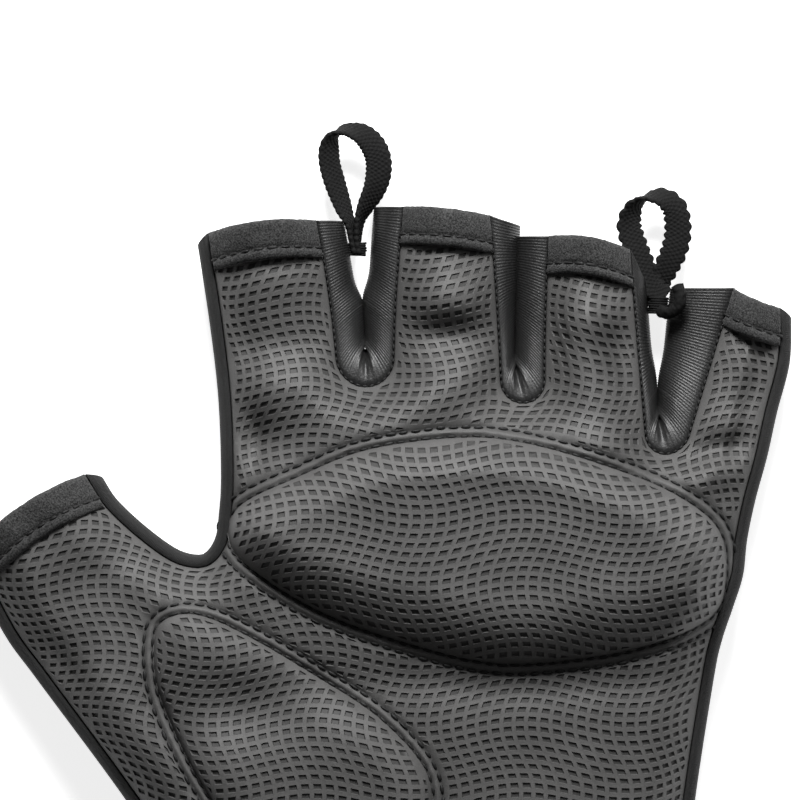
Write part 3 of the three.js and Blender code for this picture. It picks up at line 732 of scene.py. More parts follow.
def triangles_inside(outline: Array, loops: Array | tuple, free: Array) -> list[Corners]:
    """Triangles that fill a closed outline around smaller loops.

    Args:
        outline: The outer loop.
        loops: Loops of equal length that stay empty, if any.
        free: Other points that the triangles use.

    Returns:
        Corners counted through the outline, the loops and the free points, in that order.
    """
    points = np.vstack([outline, np.reshape(loops, (-1, 2)), free])
    count, size = len(outline), len(loops[0]) if len(loops) else 0
    edges = [(i, (i + 1) % count) for i in range(count)]
    for first in range(count, count + len(loops) * size, size or 1):
        edges += [(first + i, first + (i + 1) % size) for i in range(size)]
    spots, _, faces, origin, _, _ = delaunay_2d_cdt(
        [Vector(p) for p in points.tolist()], edges, [], 1, 1e-5
    )
    if len(spots) != len(points):
        LOG.warning("the filled outline has %d more points", len(spots) - len(points))
    source = [old[0] if old else -1 for old in origin]
    owners = [-1] * count + [k for k in range(len(loops)) for _ in range(size)] + [-1] * len(free)
    kept = []
    for face in faces:
        a, b, c = (source[i] for i in face)
        if min(a, b, c) >= 0 and not owners[a] == owners[b] == owners[c] >= 0:
            pa, pb, pc = points[a], points[b], points[c]
            turn = (pb[0] - pa[0]) * (pc[1] - pa[1]) - (pb[1] - pa[1]) * (pc[0] - pa[0])
            kept.append((a, b, c) if turn > 0 else (a, c, b))
    return kept


def outline_area(outline: Array) -> float:
    """The area within a closed outline, less than 0 if it runs clockwise."""
    x, y = outline.T
    return float((x * np.roll(y, -1) - np.roll(x, -1) * y).sum() / 2)


@dataclass
class PadShape:
    """The outline and swell of a pad that is quilted into the palm."""

    name: str
    rows: list[Pair]
    rise: float
    roll: float
    upper_roll: float
    fill: float
    skin: float = 1.2
    sink: float = 0.3
    lip: float = 1.7
    # The heights on the hand between which the roll changes to the upper one
    roll_change: Pair = (5, 28)
    step: float = 1.1

    def rim(self, hand: Hand) -> Array:
        """The pad's outline, clockwise, as its inner row of stitches runs."""
        points = hand.on_hand([(x, y, 0) for x, y in self.rows])
        line = smooth_line(points, self.step, closed=True)
        return line if outline_area(line) < 0 else line[::-1]

    def swell(self, distance: Array, up: Array) -> Array:
        """How far the face stands above the leather, by the way from the rim and the y."""
        lip = np.sin(np.pi / 2 * np.clip(distance / self.lip, 0, 1))
        roll = mix(self.roll, self.upper_roll, smooth_step(up, *self.roll_change))
        dome = np.sin(np.pi / 2 * np.clip(distance / roll, 0, 1))
        return -self.sink + (self.skin + self.sink) * lip + self.rise * dome


PALM_PAD = PadShape(
    "palm_pad_cushion",
    [
        (-0.445, 0.168), (-0.43, 0.235), (-0.321, 0.29), (-0.2, 0.337), (-0.04, 0.358),
        (0.076, 0.349), (0.221, 0.309), (0.348, 0.257), (0.424, 0.195), (0.438, 0.11),
        (0.41, 0.04), (0.284, -0.012), (0.128, -0.037), (0.006, -0.037), (-0.137, -0.002),
        (-0.273, 0.046), (-0.383, 0.109),
    ],
    rise=6.6, roll=12, upper_roll=7.5, fill=0.6,
)
THENAR_PAD = PadShape(
    "thenar_pad_cushion",
    [
        (-0.575, 0.02), (-0.54, 0.047), (-0.485, 0.044), (-0.4, 0.005), (-0.29, -0.06),
        (-0.17, -0.14), (-0.09, -0.24), (-0.1, -0.35), (-0.19, -0.43), (-0.31, -0.43),
        (-0.42, -0.35), (-0.5, -0.24), (-0.56, -0.12), (-0.578, -0.05),
    ],
    rise=2.8, roll=8, upper_roll=9, fill=0.4,
)


# Folds that the worn leather keeps: middle, reach along and across, turn and rise
WORN_FOLDS = [Fold(*row) for row in [
    (-38, 54.0, 12, 4.8, 4, -2.6), (-43, 37.0, 10, 5, -6, -3.2),
    (-39, 46.8, 10, 2.6, 0, 0.3), (-10, 44.0, 17, 4.4, 29, 1.9),
    (-6, 62.5, 9, 4.5, -10, 1.9), (-5, 55.5, 9, 4, -6, -1.2),
    (28, 49, 12, 3.2, 105, -1.9), (19.5, 52, 13, 4, 98, 1.5),
    (21, 59.5, 8, 4.5, 0, 1.9), (20, 36, 12, 4.8, -10, 1.8),
    (45, 35.6, 9, 3, 8, -1.7), (44, 30.6, 9, 2.6, 4, 0.8),
    (60, 44, 15, 16, 0, -2.8), (-72, 12, 10, 5, 40, -1.2),
    (-56, 6.5, 9, 4, -35, 1.5), (-44, -12, 18, 7.5, 0, -3.8),
    (-40, 33, 12, 10, 0, -2.4), (47, 28, 9, 9, 0, -2.2), (52, 43, 9, 7, 0, -1.8),
    (12, 42, 14, 3.4, -14, -0.7), (-80, -7, 10, 8, 30, -2.6),
]]


@dataclass
class Relief:
    """The finished surface of the palm leather, with its stitched grooves."""

    hand: Hand
    hem_dip: float = 1.1
    hem_dip_width: float = 3.4
    row_gap: float = 1.8
    groove: float = 0.4
    groove_width: float = 0.55
    puff: float = 0.12
    puff_width: float = 0.4
    pucker: float = 0.1
    pucker_width: float = 1.3
    pucker_size: float = 1.5
    recess: float = 0.7
    recess_ease: Pair = (0.1, 1.2)
    seam_ease: float = 5
    # How dark the shade painted into the stitched grooves is
    painted_groove_shade: float = 0.8
    inner_row: float = 0.1
    thread_lift: float = 0.12
    sway: float = 0.1
    sway_size: float = 2.2

    def __post_init__(self) -> None:
        """Keeps the distances to the pads' rims."""
        self.rims = {pad.name: pad.rim(self.hand) for pad in (PALM_PAD, THENAR_PAD)}
        self.fields = {name: LineField([rim], closed=True) for name, rim in self.rims.items()}

    def grooves(self, points: Array) -> Array:
        """What the two rows of stitches round each pad do to the height."""
        total = np.zeros(len(points))
        puckers = noise(points, self.pucker_size, 21)
        for rim in self.fields.values():
            out = -rim.distance(points)
            total -= self.groove * self.rows_near(out)
            middle = out - self.row_gap / 2
            total += self.puff * np.exp(-((middle / self.puff_width) ** 2))
            total += self.pucker * np.exp(-((middle / self.pucker_width) ** 2)) * puckers
        return total

    def rows_near(self, out: Array) -> Array:
        """How near the two rows of stitches are, by the way out from a rim."""
        return sum(np.exp(-(((out - row) / self.groove_width) ** 2)) for row in (0.0, self.row_gap))

    def shade(self, points: Array) -> Array:
        """The shade painted on the leather in the grooves of the stitched rows."""
        total = sum(self.rows_near(-rim.distance(points)) for rim in self.fields.values())
        return self.painted_groove_shade * np.clip(total, 0, 1)

    def worn(self, points: Array) -> Array:
        """What the worn folds, and the pull of the hems, do to the height."""
        ease = smooth_step(self.hand.seams.distance(points), 0, self.seam_ease)
        total = sum(fold.height(points) for fold in WORN_FOLDS) * ease
        for name, edges in self.hand.hems.items():
            if name != "thumb_hem":
                gap = LineField([edges.low]).distance(points)
                total -= self.hem_dip * ease * np.exp(-((gap / self.hem_dip_width) ** 2))
        return total

    def base(self, points: Array) -> Array:
        """The height of the leather without its stitches."""
        return self.hand.palm_top(points) + self.worn(points)

    def leather(self, points: Array) -> Array:
        """The height of the palm leather's face."""
        height = self.base(points) + self.grooves(points)
        for rim in self.fields.values():
            height -= self.recess * smooth_step(rim.distance(points), *self.recess_ease)
        return height

    def pad(self, shape: PadShape, points: Array) -> Array:
        """The height of a pad's face."""
        distance = self.fields[shape.name].distance(points)
        return self.base(points) + shape.swell(distance, points[:, 1])

    def stitch_lines(self, shape: PadShape) -> list[Array]:
        """The two lines of stitches round a pad, which wander a little."""
        lines = []
        for out in (self.inner_row, self.row_gap):
            line = to_the_right(self.rims[shape.name], -out, closed=True)
            line = resample(line, 0.6, closed=True)
            moves = [noise(line, self.sway_size, seed) for seed in (41, 42)]
            line = line + self.sway * stack(moves)
            lines.append(stack([line, self.leather(line) + self.thread_lift]))
        return lines


@dataclass
class Emboss:
    """The grid of small slanted dents pressed into the leather."""

    hand: Hand
    pitch: Pair = (2.26, 1.74)
    half_dent: Pair = (0.33, 0.285)
    depth: float = 0.25
    lip: float = 0.07
    # The waves of the grid's lines: their shift, their period and a crest, each in x and y
    shift: Pair = (1.85, 1.4)
    period: Pair = (25.5, 38.5)
    crest: Pair = (23, 7.8)
    # The smallest dents that are kept at an outline and at a rim, as shares of a whole one
    least: float = 0.248
    least_at_rim: float = 0.3
    # How far a corner may move, and how far sides and free corners keep off
    most_moved: float = 1.3
    side_gap: float = 0.08
    free_gap: float = 0.45

    def __post_init__(self) -> None:
        """Works out how much longer the rolled leather is than it looks from above."""
        hand = self.hand
        at = np.linspace(0, hand.edge_roll, 80)
        drop = (1 - hand.seam_share) * hand.finger_height * 1.05
        slope = drop * np.pi / 2 / hand.edge_roll * np.cos(np.pi / 2 * at / hand.edge_roll)
        extra = np.sqrt(1 + slope**2) - 1
        self.at = at
        self.extra = extra[::-1].cumsum()[::-1] * (at[1] - at[0])

    def flat(self, column: Array, row: Array) -> Array:
        """Where the grid's lines cross on the flat leather."""
        x, y = column * self.pitch[0], row * self.pitch[1]
        across, along = x.copy(), y.copy()
        for _ in range(8):
            wave_x = np.cos(2 * np.pi * (along - self.crest[0]) / self.period[0])
            wave_y = np.cos(2 * np.pi * (across - self.crest[1]) / self.period[1])
            across, along = x + self.shift[0] * wave_x, y + self.shift[1] * wave_y
        return stack([across, along])

    def on_palm(self, column: Array, row: Array) -> Array:
        """The crossings seen from above, closer together where the leather rolls down."""
        flat = self.flat(column, row)
        plan = flat
        for _ in range(4):
            distance, inward = self.hand.seams.look(plan)
            plan = flat + inward * np.interp(distance, self.at, self.extra)[:, None]
        return plan

    def dents(self, outline: Array, margin: float) -> tuple[Array, Array]:
        """The dents within an outline, cut back where they would cross it.

        Args:
            outline: A closed outline, clockwise.
            margin: The way that a dent keeps from it.

        Returns:
            The four corners of each dent, and the grid's own corners between dents.
        """
        low, high = outline.min(axis=0) - 6, outline.max(axis=0) + 6
        counts = [
            np.arange(int(low[k] / self.pitch[k]) - 1, int(high[k] / self.pitch[k]) + 2)
            for k in range(2)
        ]
        column, row = (grid.reshape(-1).astype(float) for grid in np.meshgrid(*counts))
        middle = self.flat(column, row)
        near = (middle > low).all(axis=1) & (middle < high).all(axis=1)
        column, row = column[near], row[near]
        half_x, half_y = self.half_dent
        reach = ((-half_x, -half_y), (half_x, -half_y), (half_x, half_y), (-half_x, half_y))
        quads = np.stack([self.on_palm(column + x, row + y) for x, y in reach], axis=1)
        edge = LineField([outline], closed=True)
        distance, inward = edge.look(quads.reshape(-1, 2))
        short = np.clip(margin - distance, 0, None)
        moved = quads + (inward * short[:, None]).reshape(quads.shape)
        held = short.reshape(-1, 4).max(axis=1) < self.most_moved
        held &= quad_areas(moved) > self.least * self.full_area()
        sides = (moved + np.roll(moved, -1, axis=1)) / 2
        away = edge.distance(sides.reshape(-1, 2)).reshape(-1, 4)
        held &= (away > self.side_gap).all(axis=1)
        free = self.on_palm(column + 0.5, row + 0.5)
        free = free[edge.distance(free) > self.free_gap]
        return moved[held], free

    def full_area(self) -> float:
        """The area of a whole dent."""
        return self.pitch[0] * self.pitch[1] * self.half_dent[0] * self.half_dent[1] * 4

    def rings(self) -> list[Triple]:
        """The rings down the side of a dent: inset as a share, depth, and the painted shade of its
        colour.
        """
        return [(0.08, 0.07, 0.3), (0.22, self.depth, 1.0)]

    def clear_of(
        self, rim: LineField, gap: float, quads: Array, free: Array
    ) -> tuple[Array, Array]:
        """Keeps dents and free corners out of a rim and the stitched rows round it.

        Args:
            rim: The rim, clockwise.
            gap: The way from the rim that stays clear.
            quads: The four corners of each dent.
            free: The grid's own corners between dents.

        Returns:
            The dents that are left, cut back at the rows, and the corners that are left.
        """
        distance, inward = rim.look(quads.reshape(-1, 2))
        short = np.clip(distance + gap, 0, None)
        moved = quads - (inward * short[:, None]).reshape(quads.shape)
        held = short.reshape(-1, 4).max(axis=1) < self.most_moved
        held &= quad_areas(moved) > self.least_at_rim * self.full_area()
        return moved[held], free[rim.distance(free) < -gap - 0.3]


def quad_areas(quads: Array) -> Array:
    """The signed areas of four-cornered outlines."""
    x, y = quads[..., 0], quads[..., 1]
    return (x * np.roll(y, -1, axis=1) - np.roll(x, -1, axis=1) * y).sum(axis=1) / 2


def upright_normals(height: Height, points: Array, reach: float = 0.25) -> Array:
    """The unit normals of a surface given by its height over some points."""
    x, y = np.array([[reach, 0]]), np.array([[0, reach]])
    across = (height(points + x) - height(points - x)) / (2 * reach)
    along = (height(points + y) - height(points - y)) / (2 * reach)
    return unit(stack([-across, -along, np.ones(len(points))]))


def embossed_sheet(
    piece: Piece, outline: Array, height: Height, under: Height, emboss: Emboss,
    margin: float = 0.3, rims: Sequence[LineField] = (), gap: float = 0.0,
    guides: Array | None = None, shade: Height | None = None,
) -> None:
    """Adds a closed leather sheet whose face carries the dents.

    Args:
        piece: The piece that takes it.
        outline: The sheet's outline, clockwise.
        height: The height of its face.
        under: The height of its lining.
        emboss: The grid of dents.
        margin: The way that dents keep from the outline.
        rims: Rims of pads, which hide the leather within them.
        gap: The width of the stitched band round each rim.
        guides: More points for the face.
        shade: The shade painted on the face at some points, from 0 to 1.
    """
    edge = to_the_right(outline, EDGE_INSET, closed=True)
    quads, free = emboss.dents(edge, margin)
    for rim in rims:
        quads, free = emboss.clear_of(rim, gap, quads, free)
    if guides is not None:
        free = np.vstack([free, guides])
    loops = [dented_face(piece, edge, quads, free, height, emboss, shade)]
    side = stack([outline, height(outline)])
    lower_side = stack([outline, under(outline) + EDGE_ROUND])
    bottom = stack([edge, under(edge)])
    for ring in (side - [0, 0, EDGE_ROUND], lower_side, bottom):
        loops.append(list(piece.add(ring)))
    for upper, lower in zip(loops, loops[1:]):
        piece.strip(upper + upper[:1], lower + lower[:1])
    spots = spots_within(edge, LINING_STEP, 1, outline)
    at = [*loops[-1], *piece.add(stack([spots, under(spots)]))]
    for a, b, c in triangles_inside(edge, (), spots):
        piece.face(at[a], at[c], at[b], finish=1)


def dented_face(
    piece: Piece, edge: Array, quads: Array, free: Array, height: Height, emboss: Emboss,
    shade: Height | None,
) -> list[int]:
    """Adds the face of a sheet, with its dents.

    Args:
        piece: The piece that takes it.
        edge: The edge of the face, clockwise.
        quads: The four corners of each dent.
        free: Other points of the face.
        height: The height of the face.
        emboss: The grid of dents.
        shade: The shade painted on the face at some points, from 0 to 1.

    Returns:
        The numbers of the edge's points.
    """
    flat = np.vstack([edge, quads.reshape(-1, 2), free])
    tops = height(flat)
    count, lips = len(edge), quads.shape[0] * 4
    normals = upright_normals(height, quads.reshape(-1, 2)).reshape(-1, 4, 3)
    lip = stack([quads.reshape(-1, 2), tops[count : count + lips]]).reshape(-1, 4, 3)
    tops[count : count + lips] += emboss.lip
    # The face carries the shade painted into the stitched grooves
    at = piece.add(stack([flat, tops]), shade(flat) if shade else 0.0)
    for a, b, c in triangles_inside(edge, quads, free):
        piece.face(at[a], at[b], at[c])
    middle = lip.mean(axis=1, keepdims=True)
    rings = [np.array(at[count : count + lips]).reshape(-1, 4)]
    # The dent's walls and floor are painted darker, as shade in the recess
    for inset, depth, painted_shade in emboss.rings():
        ring = mix(lip, middle, inset) - normals * depth
        rings.append(np.array(piece.add(ring.reshape(-1, 3), painted_shade)).reshape(-1, 4))
    for upper, lower in zip(rings, rings[1:]):
        for a, b in zip(upper.tolist(), lower.tolist()):
            for i in range(4):
                j = (i + 1) % 4
                piece.face(a[i], a[j], b[j], b[i])
    for corners in rings[-1].tolist():
        piece.face(*corners)
    return list(at[:count])


class Held(Enum):
    """How a sheet of cloth is held."""

    STRETCHED = "stretched"
    FOLDED = "folded"
    LAID = "laid"


def dress(piece: Object, nodes: Sequence[str]) -> Object:
    """Makes a piece ride on the glove and stand for CAD nodes."""
    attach(piece, BODY)
    if nodes:
        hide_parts(*nodes)
    LOG.info("%s: %d faces", piece.name, len(piece.data.polygons))
    return piece


@dataclass
class PalmLeather:
    """The palm side's leather, from the wrist's seam up to the hems."""

    hand: Hand
    relief: Relief
    emboss: Emboss
    thickness: float = 1.4
    under_hem: float = 1.2
    step: float = 0.9
    # How much larger the flat leather is than its outline, in size and in area
    flat_size: float = 1.06
    flat_area: float = 1.12
    # Ways out from a pad's rim at which the leather has lines of points
    ROWS_OUT = (-0.8, -0.3, 0.0, 0.3, 0.6, 0.9, 1.2, 1.5, 1.8, 2.1)

    def outline(self) -> Array:
        """The leather's outline, clockwise, tucked under each hem."""
        hand, cut = self.hand, self.hand.hem_length - self.under_hem
        hems, share = list(hand.hems.values()), np.linspace(0.04, 0.96, 24)
        lines = []
        for i, wall in enumerate(hand.walls):
            line = to_the_right(wall.seam, hand.seam_gap)
            lines.append(trimmed(line, cut if i else 0, cut if i < len(hand.walls) - 1 else 0))
            if i < len(hems):
                lines.append(hems[i].plan(share, np.full(24, self.under_hem), hand.hem_length))
        return resample(np.vstack(lines), self.step, closed=True)

    def guides(self) -> Array:
        """Points along the stitched rows round the pads, and a few under the pads."""
        lines = []
        for rim in self.relief.rims.values():
            for out in self.ROWS_OUT:
                line = to_the_right(rim, -out, closed=True)
                lines.append(resample(line, 0.6 if out > -0.5 else 1.5, closed=True))
            inner = to_the_right(rim, 2.0, closed=True)
            lines.append(spots_within(inner, LINING_STEP, 0, rim))
        return np.vstack(lines)

    def make(self, leather: Material, lining: Material) -> Object:
        """Builds the leather and dresses it."""
        piece = Piece()
        outline = self.outline()

        def under(points: Array) -> Array:
            """The height of the leather's lining."""
            slope = upright_normals(self.relief.base, points)[:, 2]
            return self.relief.base(points) - self.thickness * np.minimum(1 / slope, 1.3)

        embossed_sheet(
            piece, outline, self.relief.leather, under, self.emboss,
            rims=list(self.relief.fields.values()),
            gap=self.relief.row_gap + self.relief.groove_width, guides=self.guides(),
            shade=self.relief.shade,
        )
        made = piece.build("palm_leather_panel", [leather, lining], 50)
        return dress(made, ["palm_panel"])

    def declare(self) -> None:
        outline = self.outline()
        size = np.ptp(outline, axis=0) * self.flat_size
        area = min(abs(outline_area(outline)) * self.flat_area, size.prod())


class SettledCover:
    """How far a pad's cover has moved up or down over its plan."""

    def __init__(self, plan: Array, faces: Sequence[Corners], rise: Array) -> None:
        """Keeps the cover's points in plan, its triangles and each point's move."""
        self.plan, self.faces, self.rise = plan, np.array(faces), rise
        flat = stack([plan, np.zeros(len(plan))])
        self.tree = BVHTree.FromPolygons(flat.tolist(), [list(face) for face in faces])

    def rise_at(self, points: Array) -> Array:
        """The cover's move at some points, and 0 outside it."""
        found = [self.tree.ray_cast(Vector((x, y, 1)), Vector((0, 0, -1)))[2] for x, y in points]
        over = np.array([index is not None for index in found])
        total = np.zeros(len(points))
        corners = self.faces[[index for index in found if index is not None]]
        a, b, c = (self.plan[corners[:, k]] for k in range(3))
        p = points[over]
        whole = cross_of(b - a, c - a)
        share_a, share_b = cross_of(b - p, c - p) / whole, cross_of(c - p, a - p) / whole
        rise = self.rise[corners]
        share_c = 1 - share_a - share_b
        total[over] = rise[:, 0] * share_a + rise[:, 1] * share_b + rise[:, 2] * share_c
        return total


def cross_of(first: Array, second: Array) -> Array:
    """The cross product of vectors in plan."""
    return first[:, 0] * second[:, 1] - first[:, 1] * second[:, 0]


@dataclass
class CoverCloth:
    """A short cloth simulation of a pad's cover, held by its stitches over its foam."""

    spacing: float = 2.0
    frames: int = 20
    pressure: float = 0.35
    slack: float = -0.012
    cap: float = 0.8
    easing: int = 8
    inset: float = 0.6
    edge_gap: float = 0.8
    quality: int = 6
    mass: float = 0.2

    def settle(self, shape: PadShape, relief: Relief) -> SettledCover:
        """Runs the simulation on a coarse cover.

        Args:
            shape: The pad.
            relief: The leather's surfaces.

        Returns:
            The cover's moves, held under the cap and eased a little.
        """
        edge = to_the_right(relief.rims[shape.name], self.inset, closed=True)
        spots = spots_within(edge, self.spacing, self.edge_gap)
        plan = np.vstack([edge, spots])
        faces = triangles_inside(edge, (), spots)
        start = stack([plan, relief.pad(shape, plan)])
        end = self.simulate(start, faces, len(edge))
        rise = np.tanh((end[:, 2] - start[:, 2]) / self.cap) * self.cap
        rise[: len(edge)] = 0
        pairs = np.array([(face[i], face[i - 1]) for face in faces for i in range(3)])
        for _ in range(self.easing):
            total, count = np.zeros(len(rise)), np.zeros(len(rise))
            for near, far in (pairs.T, pairs.T[::-1]):
                np.add.at(total, near, rise[far])
                np.add.at(count, near, 1)
            rise[len(edge) :] = mix(rise, total / np.maximum(count, 1), 0.5)[len(edge) :]
        LOG.info("%s: cover moved %.2f to %.2f mm", shape.name, rise.min(), rise.max())
        return SettledCover(plan, faces, rise)

    def simulate(self, start: Array, faces: Sequence[Corners], held: int) -> Array:
        """Moves the cover's points through the frames.

        Args:
            start: The points at the start.
            faces: The triangles between them.
            held: The number of points at the start of the list that stay still.

        Returns:
            The points after the last frame.
        """
        mesh = bpy.data.meshes.new("Cover_cloth")
        mesh.from_pydata((start * MM).tolist(), [], faces)
        scene, cover = bpy.context.scene, placed("Cover_cloth", mesh)
        cover.vertex_groups.new(name="Stitches").add(list(range(held)), 1.0, "REPLACE")
        cloth = cover.modifiers.new("Cloth", "CLOTH")
        settings = cloth.settings
        settings.quality = self.quality
        settings.mass = self.mass
        settings.vertex_group_mass = "Stitches"
        settings.effector_weights.gravity = 0
        settings.use_pressure = True
        settings.uniform_pressure_force = self.pressure
        settings.shrink_min = self.slack
        cloth.point_cache.frame_start = 1
        cloth.point_cache.frame_end = self.frames
        for frame in range(1, self.frames + 1):
            scene.frame_set(frame)
        graph = bpy.context.evaluated_depsgraph_get()
        moved = cover.evaluated_get(graph).data.vertices
        end = np.array([point.co[:] for point in moved]) / MM
        scene.frame_set(1)
        bpy.data.objects.remove(cover)
        bpy.data.meshes.remove(mesh)
        return end


@dataclass
class QuiltedPad:
    """A foam pad under its own embossed leather, sewn down along its rim."""

    relief: Relief
    emboss: Emboss
    shape: PadShape
    node: str
    margin: float = 0.45
    gap: float = 0.03
    least_skin: float = 0.08

    def make(self, leather: Material, lining: Material) -> Object:
        """Builds the pad and dresses it."""
        relief, shape, piece = self.relief, self.shape, Piece()
        outline = relief.rims[shape.name]
        cover = CoverCloth().settle(shape, relief)

        def face(points: Array) -> Array:
            """The height of the pad's face."""
            rest = relief.pad(shape, points)
            return rest + cover.rise_at(points) if cover else rest

        def under(points: Array) -> Array:
            """The height of the pad's underside, just over the panel's leather."""
            return np.minimum(relief.leather(points) + self.gap, face(points) - self.least_skin)

        embossed_sheet(piece, outline, face, under, self.emboss, self.margin)
        made = piece.build(shape.name, [leather, lining], 50)
        dress(made, [self.node])
        return made


@dataclass
class Hem:
    """A folded suede hem over the end of a finger, with its puffed lower edge."""

    hand: Hand
    name: str
    edges: HemEdges
    # Lengths from the hem's lower edge, and heights over the leather
    PROFILE = [
        (-0.45, -0.5), (-0.62, 0.1), (-0.4, 0.8), (0.3, 1.2), (0.95, 1.05), (1.45, 0.5),
        (1.95, 0.8), (2.8, 1.0), (4.2, 1.0), (5.5, 0.8), (6.3, 0.3), (6.65, -0.5),
        (6.5, -1.3), (5.8, -1.75), (4.5, -1.85), (2.5, -1.85), (0.7, -1.85), (-0.2, -1.5),
    ]
    NAP = ((0.05, 0.9, 5), (0.07, 2.6, 6))
    stitch_at: float = 1.45
    stitch_height: float = 0.62
    step: float = 0.3

    def surface(self, columns: int) -> Array:
        """The hem's closed profile, swept over the finger in some columns."""
        profile = smooth_line(self.PROFILE, self.step, closed=True)
        across = np.linspace(0.012, 0.988, columns)
        return np.array([self.row(across, along, up) for along, up in profile])

    def stitch_line(self) -> Array:
        """The line of the hem's row of stitches."""
        return self.row(np.linspace(0.03, 0.97, 60), self.stitch_at, self.stitch_height)

    def row(self, across: Array, along: float, up: float) -> Array:
        """Points across the hem, at a length from its lower edge and over the leather."""
        plan = self.edges.plan(across, np.full(len(across), along), self.hand.hem_length)
        return stack([plan, self.hand.palm_top(plan) + up])

    def make(self, suede: Material) -> Object:
        """Builds the hem and dresses it."""
        width = float(norm(self.edges.low[0] - self.edges.low[-1]))
        surface = self.surface(int(width / self.step))
        nap = waves(surface.reshape(-1, 3), self.NAP).reshape(surface.shape[:2])
        surface = surface + normals_round(surface) * nap[..., None]
        piece = Piece()
        at = piece.grid(surface, loop_v=True, flip=True)
        for column, last in ENDS:
            ring = at[:, column].tolist()
            centre = piece.add(surface[:, column].mean(axis=0)[None])[0]
            for a, b in zip(ring, ring[1:] + ring[:1]):
                piece.face(*((a, b, centre) if last else (b, a, centre)))
        made = piece.build(self.name + "_binding", [suede], 70)
        return dress(made, [self.name])


def normals_round(surface: Array) -> Array:
    """Unit outward normals of a tube whose rows run along it and close round it."""
    return unit(np.cross(slope(surface, 0, True), slope(surface, 1, False)))


@dataclass
class Gusset:
    """The ribbed knit between two fingers, folded round their crotch."""

    hand: Hand
    name: str
    wall: Wall
    thickness: float = 1.0
    rib_pitch: float = 0.46
    rib_depth: float = 0.1
    steps_in_rib: int = 4
    rings: int = 22
    crease: float = 0.3
    crease_width: float = 0.4
    ridge: float = 0.35
    ridge_at: float = 1.5
    ridge_width: float = 0.8
    # Half the gap under which the two sides meet, and how far they press into each other
    meet: float = 0.0
    press: float = 0.12
    fading: float = 0.3

    def make(self, knit: Material) -> Object:
        """Builds the gusset and dresses it."""
        middle = self.wall.outline
        along = lengths_along(middle)
        ribs = round(along[-1] / self.rib_pitch)
        place = np.linspace(0, along[-1], ribs * self.steps_in_rib + 1)
        u = np.interp(place, along, np.linspace(0, 1, len(middle)))
        v = np.linspace(0, 1, self.rings)
        surface = self.hand.wall_grid(self.wall, u, v, self.hand.gusset_lift)
        half_gap = np.interp(place, along, norm(middle - middle[::-1], axis=1) / 2)
        relief = self.ribbed(np.pi * place / along[-1] * ribs, v)
        relief += self.folded(surface, u, v)
        relief += self.pressed(half_gap, v)
        piece = Piece()
        thick_cloth(piece, surface, self.thickness, relief)
        made = piece.build(self.name + "_knit", [knit], 80)
        dress(made, [self.name])
        return made

    def ribbed(self, phase: Array, v: Array) -> Array:
        """The ribs, from each column's turn through them, lower at both edges."""
        ribs = self.rib_depth * (np.abs(np.sin(phase)) - 0.5)[None] * np.ones((self.rings, 1))
        return ribs * np.sin(np.pi * np.clip(v, 0.04, 0.96))[:, None] ** 0.3

    def folded(self, surface: Array, u: Array, v: Array) -> Array:
        """The crease in the middle between its two ridges, at shares of the way along and down."""
        step = norm(np.diff(surface, axis=1), axis=2)
        way = np.concatenate([np.zeros((self.rings, 1)), np.cumsum(step, axis=1)], axis=1)
        centre = int(np.argmin(np.abs(u - 0.5)))
        aside = np.abs(way - way[:, centre : centre + 1])
        window = smooth_step(v, 0.03, 0.2)[:, None] * (1 - smooth_step(v, 0.6, 0.85))[:, None]
        valley = np.exp(-((aside / self.crease_width) ** 2))
        ridge = np.exp(-(((aside - self.ridge_at) / self.ridge_width) ** 2))
        return window * (self.ridge * ridge - self.crease * valley)

    def pressed(self, half_gap: Array, v: Array) -> Array:
        """How far the two sides bulge where they meet, by half the gap between them."""
        touch = np.where(half_gap < self.meet, half_gap + self.press, 0)
        fading = self.meet * np.exp(-((half_gap - self.meet) / self.fading) ** 2)
        touch += np.where(half_gap >= self.meet, fading, 0)
        return touch * np.sin(np.pi * v)[:, None] ** 1.5


